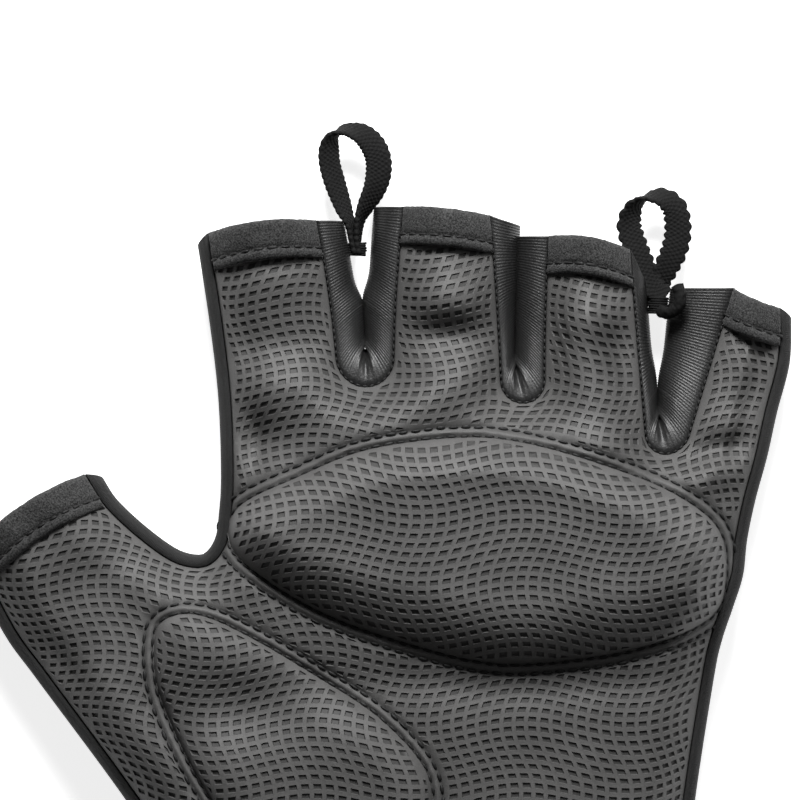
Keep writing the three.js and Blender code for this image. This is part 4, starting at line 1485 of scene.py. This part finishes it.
@dataclass
class BackCloth:
    """The stretch cloth of the glove's back and sides, in one shell."""

    hand: Hand
    thickness: float = 1.3
    rings: int = 12
    step: float = 1.6
    edge_gap: float = 0.8
    lift_ease: float = 9
    lift: float = 0.35
    flat_size: float = 1.15
    WAVES = ((0.3, 26, 11), (0.12, 9, 12))

    def walls(self, piece: Piece) -> tuple[Array, list[int]]:
        """Adds the side walls, and goes round the edge of the floor.

        Args:
            piece: The piece that takes the walls.

        Returns:
            The floor's outline in plan, and the numbers of its points.
        """
        hand, v = self.hand, np.linspace(0, 1, self.rings)
        loop: list[int] = []
        plan: list[Array] = []
        for i, wall in enumerate(hand.walls):
            if wall.seam is not wall.floor:
                u = np.linspace(0, 1, len(wall.seam))
                loop += piece.grid(hand.wall_grid(wall, u, v, 0.0))[-1].tolist()
                plan.append(wall.floor)
            else:
                plan.append(trimmed(to_the_right(wall.floor, hand.seam_gap), 0.0, 0.0))
                loop += piece.add(stack([plan[-1], np.zeros(len(plan[-1]))]))
            end, ahead = plan[-1][-1], hand.walls[(i + 1) % len(hand.walls)].floor[0]
            steps = max(int(norm(ahead - end)), 3)
            plan.append(mix(end[None], ahead[None], np.linspace(0, 1, steps)[1:-1, None]))
            loop += piece.add(stack([plan[-1], np.zeros(len(plan[-1]))]))
        return np.vstack(plan), loop

    def make(self, cloth: Material) -> Object:
        """Builds the shell and dresses it."""
        piece = Piece()
        outline, loop = self.walls(piece)
        spots = spots_within(outline, self.step, self.edge_gap)
        away = np.abs(LineField([outline], closed=True).distance(spots))
        ease = smooth_step(away, 0, self.lift_ease)
        lift = ease * waves(spots, self.WAVES, self.lift).clip(0, 2)
        at = [*loop, *piece.add(stack([spots, lift]))]
        for a, b, c in triangles_inside(outline, (), spots):
            piece.face(at[a], at[c], at[b])
        made = piece.build("back_cloth_shell", [cloth], 60)
        finish_shell(made, self.thickness)
        dress(made, ["back_panel"])
        size = np.ptp(outline, axis=0) * self.flat_size
        return made


def finish_shell(piece: Object, thickness: float) -> None:
    """Gives an open shell its thickness on the inside, as plain mesh."""
    work = bmesh.new()
    work.from_mesh(piece.data)
    bmesh.ops.remove_doubles(work, verts=work.verts, dist=1e-6)
    work.to_mesh(piece.data)
    work.free()
    solidify = piece.modifiers.new("Thickness", "SOLIDIFY")
    solidify.thickness = thickness * MM
    solidify.offset = -1
    solidify.use_even_offset = False
    apply_modifiers(piece)


def apply_modifiers(piece: Object) -> None:
    """Turns a piece and its modifiers into a plain mesh."""
    graph = bpy.context.evaluated_depsgraph_get()
    mesh = bpy.data.meshes.new_from_object(piece.evaluated_get(graph))
    old = piece.data
    piece.modifiers.clear()
    piece.data = mesh
    bpy.data.meshes.remove(old)
    mesh.name = piece.name


@dataclass
class Cuff:
    """The closed cloth band round the wrist."""

    hand: Hand
    length: float = 20
    thickness: float = 2
    floor: float = 1.9
    steps: int = 220
    rings: int = 41
    puff: float = 0.25
    groove: float = 0.45
    groove_width: float = 0.7
    ROWS = (2.0, 18.0)

    def section(self, u: Array) -> Array:
        """The wrist's section: over the palm, down a side, back along the floor and up."""
        hand = self.hand
        left = hand.wrist_x - hand.wrist_width / 2 + hand.side_wrap
        right = hand.wrist_x + hand.wrist_width / 2 - hand.side_wrap
        crown = float(hand.crown(np.array([[hand.wrist_x, hand.wrist_y]]))[0])
        quarter = np.minimum((u * 4).astype(int), 3)
        t = u * 4 - quarter
        over_x = mix(left, right, t)
        way = np.minimum(over_x - left, right - over_x) / hand.edge_roll
        over_z = crown * mix(hand.seam_share, 1, np.sin(np.pi / 2 * np.clip(way, 0, 1)))
        down = np.where(quarter == 1, t, 1 - t)
        ease = (1 - np.cos(np.pi * down)) / 2
        belly = (hand.side_wrap + hand.floor_inset) / 2 * np.sin(np.pi * down)
        side_z = mix(hand.seam_share * crown, self.floor, ease)
        inset = hand.floor_inset
        x = np.select(
            [quarter == 0, quarter == 1, quarter == 2],
            [over_x, right - inset * ease + belly, mix(right - inset, left + inset, t)],
            left + inset * ease - belly,
        )
        z = np.select([quarter == 0, quarter == 2], [over_z, self.floor], side_z)
        return stack([x, z])

    def make(self, cloth: Material, lining: Material) -> Object:
        """Builds the cuff and dresses it."""
        hand, piece = self.hand, Piece()
        section = self.section(np.arange(self.steps) / self.steps)
        way = np.linspace(self.length, 0, self.rings)
        rows = []
        for y in hand.wrist_y - hand.seam_gap - way:
            rows.append(stack([section[:, 0], np.full(self.steps, y), section[:, 1]]))
        surface = np.array(rows)
        relief = self.puff * np.ones((self.rings, self.steps))
        for row in self.ROWS:
            relief -= self.groove * np.exp(-(((way[:, None] - row) / self.groove_width) ** 2))
        thick_cloth(piece, surface, self.thickness, relief, loop_u=True, lining=1)
        made = piece.build("wrist_cuff_band", [cloth, lining], 60)
        dress(made, ["cuff"])
        round_it = float(norm(np.roll(section, -1, axis=0) - section, axis=1).sum())
        return made


@dataclass
class WristTab:
    """The closing tab, a stitched strip that lies flat under the cuff."""

    hand: Hand
    width: float = 15
    length: float = 46
    corner: float = 4
    corner_steps: int = 9
    from_wrist: float = 10
    # The outline's inset and the height, from the underside round the edge to the face
    PROFILE = [
        (3.2, 0.12), (2.4, 0.0), (1.8, 0.2), (1.1, 0.0), (0.4, 0.02), (0.0, 0.4), (0.0, 1.2),
        (0.4, 1.58), (1.4, 1.6),
    ]

    def outline(self, inset: float) -> Array:
        """The tab's outline, moved inwards by a distance."""
        half_x, half_y = self.length / 2 - inset, self.width / 2 - inset
        radius = max(self.corner - inset, 0.5)
        points = []
        for sign_x, sign_y, start in ((1, 1, 0), (-1, 1, 90), (-1, -1, 180), (1, -1, 270)):
            turn = np.radians(np.linspace(start, start + 90, self.corner_steps))
            x = sign_x * (half_x - radius) + radius * np.cos(turn)
            y = sign_y * (half_y - radius) + radius * np.sin(turn)
            points.append(stack([x, y]))
        hand = self.hand
        return np.vstack(points) + [hand.wrist_x, hand.wrist_y - hand.seam_gap - self.from_wrist]

    def make(self, webbing: Material) -> Object:
        """Builds the tab and dresses it."""
        piece = Piece()
        rings = []
        for inset, height in self.PROFILE:
            outline = self.outline(inset)
            rings.append(stack([outline, np.full(len(outline), height)]))
        at = piece.grid(np.array(rings), loop_u=True)
        piece.face(*at[0].tolist()[::-1])
        piece.face(*at[-1].tolist())
        made = piece.build("wrist_closing_tab", [webbing], 50)
        dress(made, ["wrist_tab"])
        return made


def cord(piece: Piece, line: Array, radius: float, sides: int = 8, nap: float = 0.0) -> None:
    """Adds a round thread along a line.

    Args:
        piece: The piece that takes it.
        line: Points along the middle of the thread.
        radius: Half the thread's thickness.
        sides: The number of faces round it.
        nap: How far its surface is roughened.
    """
    along = unit(np.gradient(line, axis=0))
    side = unit(np.cross(along, [0.13, 0.21, 0.97]))
    up = np.cross(side, along)
    taper = np.ones((len(line), 1))
    taper[[0, -1]] = 0.55
    turns = np.arange(sides) / sides * 2 * math.pi
    out = np.stack([side * math.cos(turn) + up * math.sin(turn) for turn in turns])
    rows = line + out * radius * taper
    if nap:
        rough = noise(rows.reshape(-1, 3), 0.8, 31).reshape(rows.shape[:2])
        rows = rows + out * nap * rough[..., None]
    at = piece.grid(rows, loop_v=True)
    piece.face(*at[:, 0].tolist())
    piece.face(*at[:, -1].tolist()[::-1])


@dataclass
class Tack:
    """Thread wound round the foot of a loop: its middle, half sizes and length."""

    x: float
    y: float
    z: float
    half_width: float
    half_depth: float
    length: float
    thread: float = 0.24
    turn_gap: float = 1.9
    steps: int = 16
    sway: Pair = (0.06, 2.7)

    def add_to(self, piece: Piece) -> None:
        """Winds the thread round the foot, from its lower end up."""
        turns = self.length / (self.thread * self.turn_gap)
        t = np.linspace(0, 1, int(turns * self.steps))
        turn = 2 * math.pi * turns * t
        wave = 1 + self.sway[0] * np.sin(self.sway[1] * turn)
        line = stack([
            self.x + self.half_width * np.cos(turn) * wave,
            self.y + self.length * (t - 0.5),
            self.z + self.half_depth * np.sin(turn),
        ])
        cord(piece, line, self.thread)


@dataclass
class PullLoop:
    """A band of webbing bent into a loop, and the ends that are tied between two fingers."""

    name: str
    # For each station: x, y and height, the turn of the band's face in degrees and its width
    stations: list[tuple[float, float, float, float, float]]
    scallop: Pair
    tack: Tack
    roll: list[Triple] = field(default_factory=list)
    thickness: float = 1.1
    step: float = 0.16
    across: int = 34
    warp: float = 0.62
    weft: float = 0.85
    weave: float = 0.1
    usual_half: float = 2.25
    roll_radius: float = 1.15
    roll_nap: float = 0.12

    def frame(self) -> tuple[Array, Array, Array, Array]:
        """The band's middle line, its width and face directions, and its width."""
        table = resample(smooth_line(self.stations, self.step), self.step)
        middle, turn, width = table[:, :3], np.radians(table[:, 3]), table[:, 4]
        along = unit(np.gradient(middle, axis=0))
        plan = unit(along * [1, 1, 0])
        inward = stack([plan[:, 1], -plan[:, 0], np.zeros(len(plan))])
        up = unit(np.cross(inward, along))
        wide = up * np.cos(turn)[:, None] + inward * np.sin(turn)[:, None]
        return middle, wide, np.cross(along, wide), width

    def make(self, webbing: Material) -> Object:
        """Builds the loop and dresses it."""
        middle, wide, out, width = self.frame()
        length = np.arange(len(middle)) * self.step
        pitch, depth = self.scallop
        edge = depth * (np.abs(np.sin(np.pi * length / pitch)) - 0.5)
        half = width / 2 + edge
        ribs = np.pi * length / self.weft
        share = np.linspace(-1, 1, self.across)
        rows = []
        for side in (1, -1):
            for x in share[::side]:
                thread = np.cos(np.pi * (x * self.usual_half) / self.warp)
                over = np.sin(ribs * 2) * thread
                round_edge = math.sqrt(max(1 - abs(x) ** 6, 0.0)) * 0.9 + 0.1
                height = self.thickness / 2 * round_edge + self.weave * over * (1 - x**8)
                rows.append(middle + wide * (x * half)[:, None] + out * (side * height)[:, None])
        piece = Piece()
        surface = np.array(rows)
        at = piece.grid(surface, loop_v=True, flip=True)
        piece.close_ends(at)
        self.tack.add_to(piece)
        if self.roll:
            cord(piece, smooth_line(self.roll, 0.2), self.roll_radius, 24, self.roll_nap)
        made = piece.build(self.name + "_band", [webbing], 70)
        return dress(made, [self.name])


INDEX_LOOP = PullLoop(
    "index_middle_pull_loop",
    [
        (-23.4, 71.6, 6.3, 10, 3.0), (-23.6, 74.0, 6.3, -12, 3.2), (-24.2, 77.4, 6.3, -20, 4.2),
        (-25.3, 80.2, 6.4, -40, 4.5), (-26.9, 84.8, 6.5, -55, 4.6), (-27.9, 88.4, 6.5, -56, 4.6),
        (-28.0, 91.2, 6.6, -50, 4.6), (-27.3, 93.4, 6.6, -24, 4.6), (-25.9, 94.5, 6.7, 14, 4.6),
        (-24.3, 94.7, 6.7, 32, 4.6), (-22.0, 94.0, 6.8, 55, 4.7), (-20.1, 92.2, 6.8, 74, 4.8),
        (-18.9, 89.6, 6.8, 84, 4.8), (-18.8, 86.6, 6.7, 80, 4.8), (-19.6, 83.6, 6.6, 62, 4.6),
        (-21.3, 80.3, 6.5, 38, 4.4), (-22.3, 77.8, 6.4, 20, 4.0), (-22.7, 74.4, 6.4, 10, 3.2),
        (-22.6, 71.6, 6.3, -10, 3.0),
    ],
    (1.15, 0.22),
    Tack(-23.0, 72.5, 6.3, 1.75, 0.95, 2.3),
)
LITTLE_LOOP = PullLoop(
    "ring_little_pull_loop",
    [
        (34.6, 63.6, 8.0, -80, 4.0), (32.6, 65.2, 7.6, -82, 4.2), (30.9, 68.6, 7.1, -80, 4.4),
        (29.0, 73.0, 6.8, -76, 4.7), (27.9, 76.9, 6.6, -70, 4.7), (28.7, 80.0, 6.6, -44, 4.6),
        (30.4, 81.7, 6.6, -8, 4.6), (32.2, 82.3, 6.7, 26, 4.6), (34.4, 82.0, 6.8, 50, 4.7),
        (36.4, 80.0, 6.9, 72, 4.8), (37.0, 76.2, 6.9, 84, 4.8), (36.4, 72.6, 6.9, 84, 4.8),
        (34.9, 69.2, 6.8, 76, 4.6), (33.4, 66.0, 6.4, 66, 4.2), (32.9, 63.4, 6.3, 66, 4.0),
        (33.4, 60.9, 6.2, 62, 3.8),
    ],
    (1.8, 0.5),
    Tack(33.3, 62.0, 7.4, 1.7, 2.4, 3.0),
    [
        (33.6, 60.9, 9.4), (35.2, 60.6, 12.0), (36.8, 61.8, 13.4), (37.1, 63.8, 13.8),
        (36.5, 65.8, 13.6),
    ],
)


def fill(sockets: object, values: dict) -> None:
    """Sets the values of some of a node's inputs, by their names or numbers."""
    for name, value in values.items():
        sockets[name].default_value = value


class Nodes:
    """Builds one node tree in few words."""

    def __init__(self, tree: Tree) -> None:
        """Keeps the tree."""
        self.tree = tree

    def add(self, kind: str, inputs: dict | None = None, **settings: object) -> bpy.types.Node:
        """Adds a node, sets its properties and fills or links its inputs.

        Args:
            kind: The node's type.
            inputs: Values, sockets or nodes by the input's name or number.
            settings: The node's own properties.

        Returns:
            The node.
        """
        node = self.tree.nodes.new(kind)
        for key, value in settings.items():
            setattr(node, key, value)
        for key, value in (inputs or {}).items():
            value = value.outputs[0] if isinstance(value, bpy.types.Node) else value
            if isinstance(value, Socket):
                self.tree.links.new(value, node.inputs[key])
            else:
                node.inputs[key].default_value = value
        return node

    def math(self, operation: str, *values: object) -> Socket:
        """The result of some arithmetic on sockets and numbers."""
        node = self.add("ShaderNodeMath", dict(enumerate(values)), operation=operation)
        return node.outputs[0]

    def remap(self, value: Socket, spread: float, low: float, high: float) -> Socket:
        """A value from 0.5 less a spread to 0.5 more, mapped to between low and high."""
        inputs = {
            "Value": value, "From Min": 0.5 - spread, "From Max": 0.5 + spread, "To Min": low,
            "To Max": high,
        }
        return self.add("ShaderNodeMapRange", inputs).outputs[0]

    def blend(self, share: object, low: object, high: object) -> Socket:
        """A colour between two, by a share."""
        return self.add("ShaderNodeMix", {0: share, 6: low, 7: high}, data_type="RGBA").outputs[2]


def node_group(
    name: str, kind: str, inputs: dict[str, float | str], outputs: dict[str, str]
) -> Nodes:
    """Starts a node group with named sockets.

    Args:
        name: The group's name.
        kind: The kind of its tree.
        inputs: The default of each number, or the kind of any other input.
        outputs: The kind of each output.

    Returns:
        The builder of its nodes.
    """
    tree = bpy.data.node_groups.new(name, kind)
    for label, given in inputs.items():
        number = not isinstance(given, str)
        kind_of_socket = "NodeSocketFloat" if number else given
        socket = tree.interface.new_socket(label, in_out="INPUT", socket_type=kind_of_socket)
        if number:
            socket.default_value = given
    for label, kind_of_socket in outputs.items():
        tree.interface.new_socket(label, in_out="OUTPUT", socket_type=kind_of_socket)
    return Nodes(tree)


def weave_group() -> Tree:
    """A shader group: a height with two crossed rows of threads laid over it."""
    make = node_group(
        "Crossed threads", "ShaderNodeTree",
        {"Height": 0.5, "Warp Scale": 1500.0, "Weft Scale": 1500.0, "Amount": 1.0},
        {"Height": "NodeSocketFloat"},
    )
    given = make.add("NodeGroupInput").outputs
    place = make.add("ShaderNodeTexCoord").outputs["Object"]
    height = given["Height"]
    for turn, scale in ((45, "Warp Scale"), (-45, "Weft Scale")):
        turned = make.add(
            "ShaderNodeMapping", {"Vector": place, "Rotation": (0.4, 0.5, math.radians(turn))}
        )
        wave = make.add(
            "ShaderNodeTexWave",
            {
                "Vector": turned, "Scale": given[scale], "Distortion": 0.6, "Detail": 1.0
            },
            wave_type="BANDS", bands_direction="X", wave_profile="SIN",
        )
        height = make.math("MULTIPLY_ADD", wave.outputs["Fac"], given["Amount"], height)
    make.add("NodeGroupOutput", {"Height": height})
    return make.tree


def grain_group() -> Tree:
    """A shader group: a fine grain and a broad mottling, both from 0 to 1."""
    make = node_group(
        "Grain and mottling", "ShaderNodeTree", {"Grain Scale": 4000.0, "Mottle Scale": 90.0},
        {"Grain": "NodeSocketFloat", "Mottle": "NodeSocketFloat"},
    )
    given = make.add("NodeGroupInput").outputs
    place = make.add("ShaderNodeTexCoord").outputs["Object"]
    results = {}
    for name, detail, rough in (("Grain", 3.0, 0.6), ("Mottle", 4.0, 0.55)):
        inputs = {
            "Vector": place, "Scale": given[name + " Scale"], "Detail": detail, "Roughness": rough
        }
        results[name] = make.add("ShaderNodeTexNoise", inputs).outputs[0]
    make.add("NodeGroupOutput", results)
    return make.tree


@dataclass(frozen=True)
class Finish:
    """A finish of one material: its colours, roughness, grain and sheen."""

    name: str
    dark: float
    light: float
    roughness: float
    grain_scale: float
    grain_depth: float
    mottle_scale: float = 90.0
    # How dark the colour gets where the painted shade of dents and grooves is full
    painted_shade_factor: float = 1.0
    specular: float = 0.4
    sheen: float = 0.0
    warm: float = 0.0
    weave: float | None = None
    speckle: float = 0.0

    def colour(self, value: float) -> tuple[float, ...]:
        """A grey of a value, a little warm or cool."""
        return (value * (1 + self.warm), value, value * (1 - self.warm), 1.0)

    def material(self, grain: Tree, threads: Tree) -> Material:
        """Builds the material.

        Args:
            grain: The shared group for grain.
            threads: The shared group for woven threads.

        Returns:
            The material.
        """
        made = bpy.data.materials.new(self.name)
        made.use_nodes = True
        tree = made.node_tree
        tree.nodes.clear()
        make = Nodes(tree)
        group = make.add(
            "ShaderNodeGroup",
            {"Grain Scale": self.grain_scale, "Mottle Scale": self.mottle_scale},
            node_tree=grain,
        ).outputs
        mottle = make.remap(group["Mottle"], 0.2, 0.0, 1.0)
        first = make.blend(mottle, self.colour(self.dark), self.colour(self.light))
        specks = make.remap(group["Grain"], 0.16, 1 - self.speckle, 1 + self.speckle)
        # Painted shade: the points' attribute darkens the base colour in dents and stitched grooves
        painted_shade = make.add("ShaderNodeAttribute", attribute_name="painted_shade").outputs["Fac"]
        shade = make.math("MULTIPLY_ADD", painted_shade, self.painted_shade_factor - 1, 1.0)
        share = make.math("MULTIPLY", specks, shade)
        base = make.add("ShaderNodeVectorMath", {0: first, "Scale": share}, operation="SCALE")
        rough = make.math("MULTIPLY_ADD", group["Grain"], 0.16, self.roughness - 0.08)
        height = group["Grain"]
        if self.weave:
            height = make.add(
                "ShaderNodeGroup",
                {"Height": height, "Warp Scale": self.weave, "Weft Scale": self.weave},
                node_tree=threads,
            ).outputs["Height"]
        bump = make.add(
            "ShaderNodeBump", {"Height": height, "Strength": 0.7, "Distance": self.grain_depth * MM}
        )
        shader = make.add(
            "ShaderNodeBsdfPrincipled",
            {"Base Color": base, "Roughness": rough, "Normal": bump},
        )
        fill(shader.inputs, {
            "Specular IOR Level": self.specular, "Sheen Weight": self.sheen, "Sheen Roughness": 0.4
        })
        make.add("ShaderNodeOutputMaterial", {"Surface": shader})
        return made


# The leather's dents and stitched grooves are painted darker, as shade
LEATHER = Finish(
    "Embossed grey leather", 0.088, 0.112, 0.58, 4200, 0.05, speckle=0.14, painted_shade_factor=0.48,
    specular=0.3, warm=0.015,
)
LINING = Finish("Black lining knit", 0.02, 0.03, 0.9, 3000, 0.1, weave=1400.0)
SUEDE = Finish(
    "Charcoal suede", 0.032, 0.05, 0.95, 3000, 0.35, speckle=0.75, specular=0.15, sheen=0.1
)
KNIT = Finish("Black ribbed knit", 0.01, 0.016, 0.46, 3000, 0.1, speckle=0.45, specular=0.6)
CLOTH = Finish("Black stretch cloth", 0.014, 0.02, 0.8, 3000, 0.1, speckle=0.3, weave=1500.0)
WEBBING = Finish("Black webbing", 0.007, 0.011, 0.8, 2600, 0.1, speckle=0.35, specular=0.15)
THREAD = Finish("Black thread", 0.008, 0.012, 0.6, 6000, 0.04, specular=0.35)


@dataclass
class SewnRows:
    """Rows of thread sewn along lines, made by Geometry Nodes."""

    pitch: float = 2.35
    stitch: float = 2.0
    radius: float = 0.36
    seed: int = 3
    least_size: Triple = (0.8, 0.75, 0.75)
    most_size: Triple = (1.1, 1.15, 1.15)

    def tree(self) -> Tree:
        """The node tree that lays a stitch at each step along the lines."""
        make = node_group(
            "Sewn rows", "GeometryNodeTree",
            {
                "Lines": "NodeSocketGeometry", "Pitch": 0.0023, "Stitch Length": 0.0019,
                "Thread Radius": 0.00024, "Thread": "NodeSocketMaterial",
            },
            {"Stitches": "NodeSocketGeometry"},
        )
        given = make.add("NodeGroupInput").outputs
        curve = make.add("GeometryNodeMeshToCurve", {"Mesh": given["Lines"]})
        points = make.add(
            "GeometryNodeCurveToPoints", {"Curve": curve, "Length": given["Pitch"]},
            mode="LENGTH",
        )
        turned = make.add(
            "FunctionNodeAlignRotationToVector", {"Vector": points.outputs["Tangent"]}, axis="X"
        )
        half = make.math("MULTIPLY", given["Stitch Length"], 0.5)
        size = make.add(
            "ShaderNodeCombineXYZ",
            {"X": half, "Y": given["Thread Radius"], "Z": given["Thread Radius"]},
        )
        ball = make.add("GeometryNodeMeshUVSphere", {"Segments": 8, "Rings": 7, "Radius": 1.0})
        shaped = make.add(
            "GeometryNodeTransform", {"Geometry": ball, "Scale": size}
        )
        vary = make.add(
            "FunctionNodeRandomValue",
            {"Min": self.least_size, "Max": self.most_size, "Seed": self.seed},
            data_type="FLOAT_VECTOR",
        )
        laid = make.add(
            "GeometryNodeInstanceOnPoints",
            {
                "Points": points.outputs["Points"], "Instance": shaped,
                "Rotation": turned, "Scale": vary,
            },
        )
        real = make.add("GeometryNodeRealizeInstances", {"Geometry": laid})
        smooth = make.add("GeometryNodeSetShadeSmooth", {"Geometry": real})
        finish = make.add(
            "GeometryNodeSetMaterial", {"Geometry": smooth, "Material": given["Thread"]}
        )
        make.add("NodeGroupOutput", {"Stitches": finish})
        return make.tree

    def sew(
        self, name: str, lines: Sequence[Array], closed: bool, tree: Tree, thread: Material
    ) -> Object:
        """Sews stitches along lines and dresses them as one piece.

        Args:
            name: The piece's name.
            lines: The lines, each as points in space.
            closed: Whether each closes on itself.
            tree: The node tree that lays the stitches.
            thread: The thread's material.

        Returns:
            The piece.
        """
        mesh = bpy.data.meshes.new(name)
        points = np.vstack(lines) * MM
        edges, start = [], 0
        for line in lines:
            count = len(line)
            edges += [(start + i, start + i + 1) for i in range(count - 1)]
            if closed:
                edges.append((start + count - 1, start))
            start += count
        mesh.from_pydata(points.tolist(), edges, [])
        guide = placed(name + "_guide", mesh)
        modifier = guide.modifiers.new("Stitches", "NODES")
        modifier.node_group = tree
        values = {
            "Pitch": self.pitch * MM, "Stitch Length": self.stitch * MM,
            "Thread Radius": self.radius * MM, "Thread": thread,
        }
        for item in tree.interface.items_tree:
            if item.in_out == "INPUT" and item.name in values:
                modifier[item.identifier] = values[item.name]
        graph = bpy.context.evaluated_depsgraph_get()
        sewn = bpy.data.meshes.new_from_object(guide.evaluated_get(graph))
        guide.modifiers.clear()
        bpy.data.objects.remove(guide)
        sewn.name = name
        return dress(placed(name, sewn), [])


@dataclass
class Studio:
    """The pale floor, the soft lights and the camera over the palm."""

    middle: Pair = (-14.8, 44.4)
    frame: float = 148.15
    focus_height: float = 14.0
    camera_height: float = 1200.0
    sensor: float = 36
    floor_half: float = 3.0
    floor_grey: float = 0.92
    floor_glow: float = 0.8
    world_light: float = 0.06
    # What the lamps look at, in metres, beside the camera's middle
    aim: Pair = (0.03, 0.01)
    # The name, place in metres, size and power of each lamp
    LAMPS = (
        ("Key_light", (0.0, 0.47, 0.38), 0.2, 5.3), ("Fill_light", (0.55, 0.6, 0.75), 0.8, 1.6),
    )

    def make(self) -> None:
        """Sets up everything that isn't the glove."""
        self.floor()
        world = bpy.data.worlds.new("Studio")
        bpy.context.scene.world = world
        world.use_nodes = True
        light = world.node_tree.nodes["Background"].inputs
        fill(light, {0: (1, 1, 1, 1), 1: self.world_light})
        bpy.context.scene.view_settings.view_transform = "Standard"
        for lamp in self.LAMPS:
            self.lamp(*lamp)
        self.camera()

    def floor(self) -> None:
        """Adds the white floor, which glows a little."""
        mesh = bpy.data.meshes.new("Studio_floor")
        half = self.floor_half
        corners = [(-half, -half, 0), (half, -half, 0), (half, half, 0), (-half, half, 0)]
        mesh.from_pydata(corners, [], [(0, 1, 2, 3)])
        paper = bpy.data.materials.new("White paper")
        paper.use_nodes = True
        fill(paper.node_tree.nodes["Principled BSDF"].inputs, {
            "Base Color": (*[self.floor_grey] * 3, 1), "Roughness": 0.9,
            "Emission Color": (1, 1, 1, 1), "Emission Strength": self.floor_glow,
        })
        mesh.materials.append(paper)
        placed("Studio_floor", mesh)

    def camera(self) -> None:
        """Adds the camera, which looks straight down."""
        data = bpy.data.cameras.new("Camera")
        camera = placed("Camera", data)
        camera.location = (self.middle[0] * MM, self.middle[1] * MM, self.camera_height * MM)
        data.sensor_width = self.sensor
        data.lens = self.sensor * (self.camera_height - self.focus_height) / self.frame
        data.clip_start, data.clip_end = 0.1, 10
        bpy.context.scene.camera = camera

    def lamp(self, name: str, place: Triple, size: float, power: float) -> None:
        """Adds one soft square light that looks at the glove, in metres and watts."""
        data = bpy.data.lights.new(name, "AREA")
        data.size, data.energy = size, power
        lamp = placed(name, data)
        lamp.location = place
        aim = Vector((self.middle[0] * MM, *self.aim)) - Vector(place)
        lamp.rotation_euler = aim.to_track_quat("-Z", "Y").to_euler()


def sew_all(hand: Hand, relief: Relief, hems: Sequence[Hem], thread: Material) -> list[str]:
    """Sews the rows round the pads, on the hems and beside the gussets.

    Args:
        hand: The glove's sizes.
        relief: The leather's surfaces.
        hems: The hems.
        thread: The thread's material.

    Returns:
        The names of the sewn pieces.
    """
    rows, teeth = SewnRows(), SewnRows(pitch=1.3, stitch=1.1, radius=0.24)
    tree = rows.tree()
    sewn = [
        rows.sew(shape.name + "_stitches", relief.stitch_lines(shape), True, tree, thread)
        for shape in (PALM_PAD, THENAR_PAD)
    ]
    lines = [hem.stitch_line() for hem in hems]
    sewn.append(rows.sew("hem_stitches", lines, False, tree, thread))
    lines = []
    for wall in hand.gusset_walls:
        line = resample(trimmed(to_the_right(wall.seam, 0.1), 6.5, 6.5), 0.5)
        lines.append(stack([line, relief.leather(line) - 0.05]))
    sewn.append(teeth.sew("gusset_stitches", lines, False, tree, thread))
    return [piece.name for piece in sewn]


def main() -> None:
    """Builds the glove piece by piece, and the studio round it."""
    logging.basicConfig(level=logging.INFO, format="%(message)s")
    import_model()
    Studio().make()
    hand = Hand()
    relief, emboss = Relief(hand), Emboss(hand)
    grain, threads = grain_group(), weave_group()
    finishes = (LEATHER, LINING, SUEDE, KNIT, CLOTH, WEBBING, THREAD)
    leather, lining, suede, knit, cloth, webbing, thread = (
        finish.material(grain, threads) for finish in finishes
    )
    BackCloth(hand).make(cloth)
    palm = PalmLeather(hand, relief, emboss)
    palm_piece = palm.make(leather, lining)
    for shape, node in ((PALM_PAD, "palm_pad"), (THENAR_PAD, "thenar_pad")):
        QuiltedPad(relief, emboss, shape, node).make(leather, lining)
    meets = {"index_middle_gusset": 1.1, "middle_ring_gusset": 1.7, "ring_little_gusset": 0.75}
    for (name, meet), wall in zip(meets.items(), hand.gusset_walls):
        Gusset(hand, name, wall, meet=meet).make(knit)
    hems = [Hem(hand, name, edges) for name, edges in hand.hems.items()]
    sewn_on = [hem.make(suede).name for hem in hems]
    Cuff(hand).make(cloth, lining)
    WristTab(hand).make(webbing)
    for loop in (INDEX_LOOP, LITTLE_LOOP):
        loop.make(webbing)
    sewn_on += sew_all(hand, relief, hems, thread)
    palm.declare()


if __name__ == "__main__":
    main()
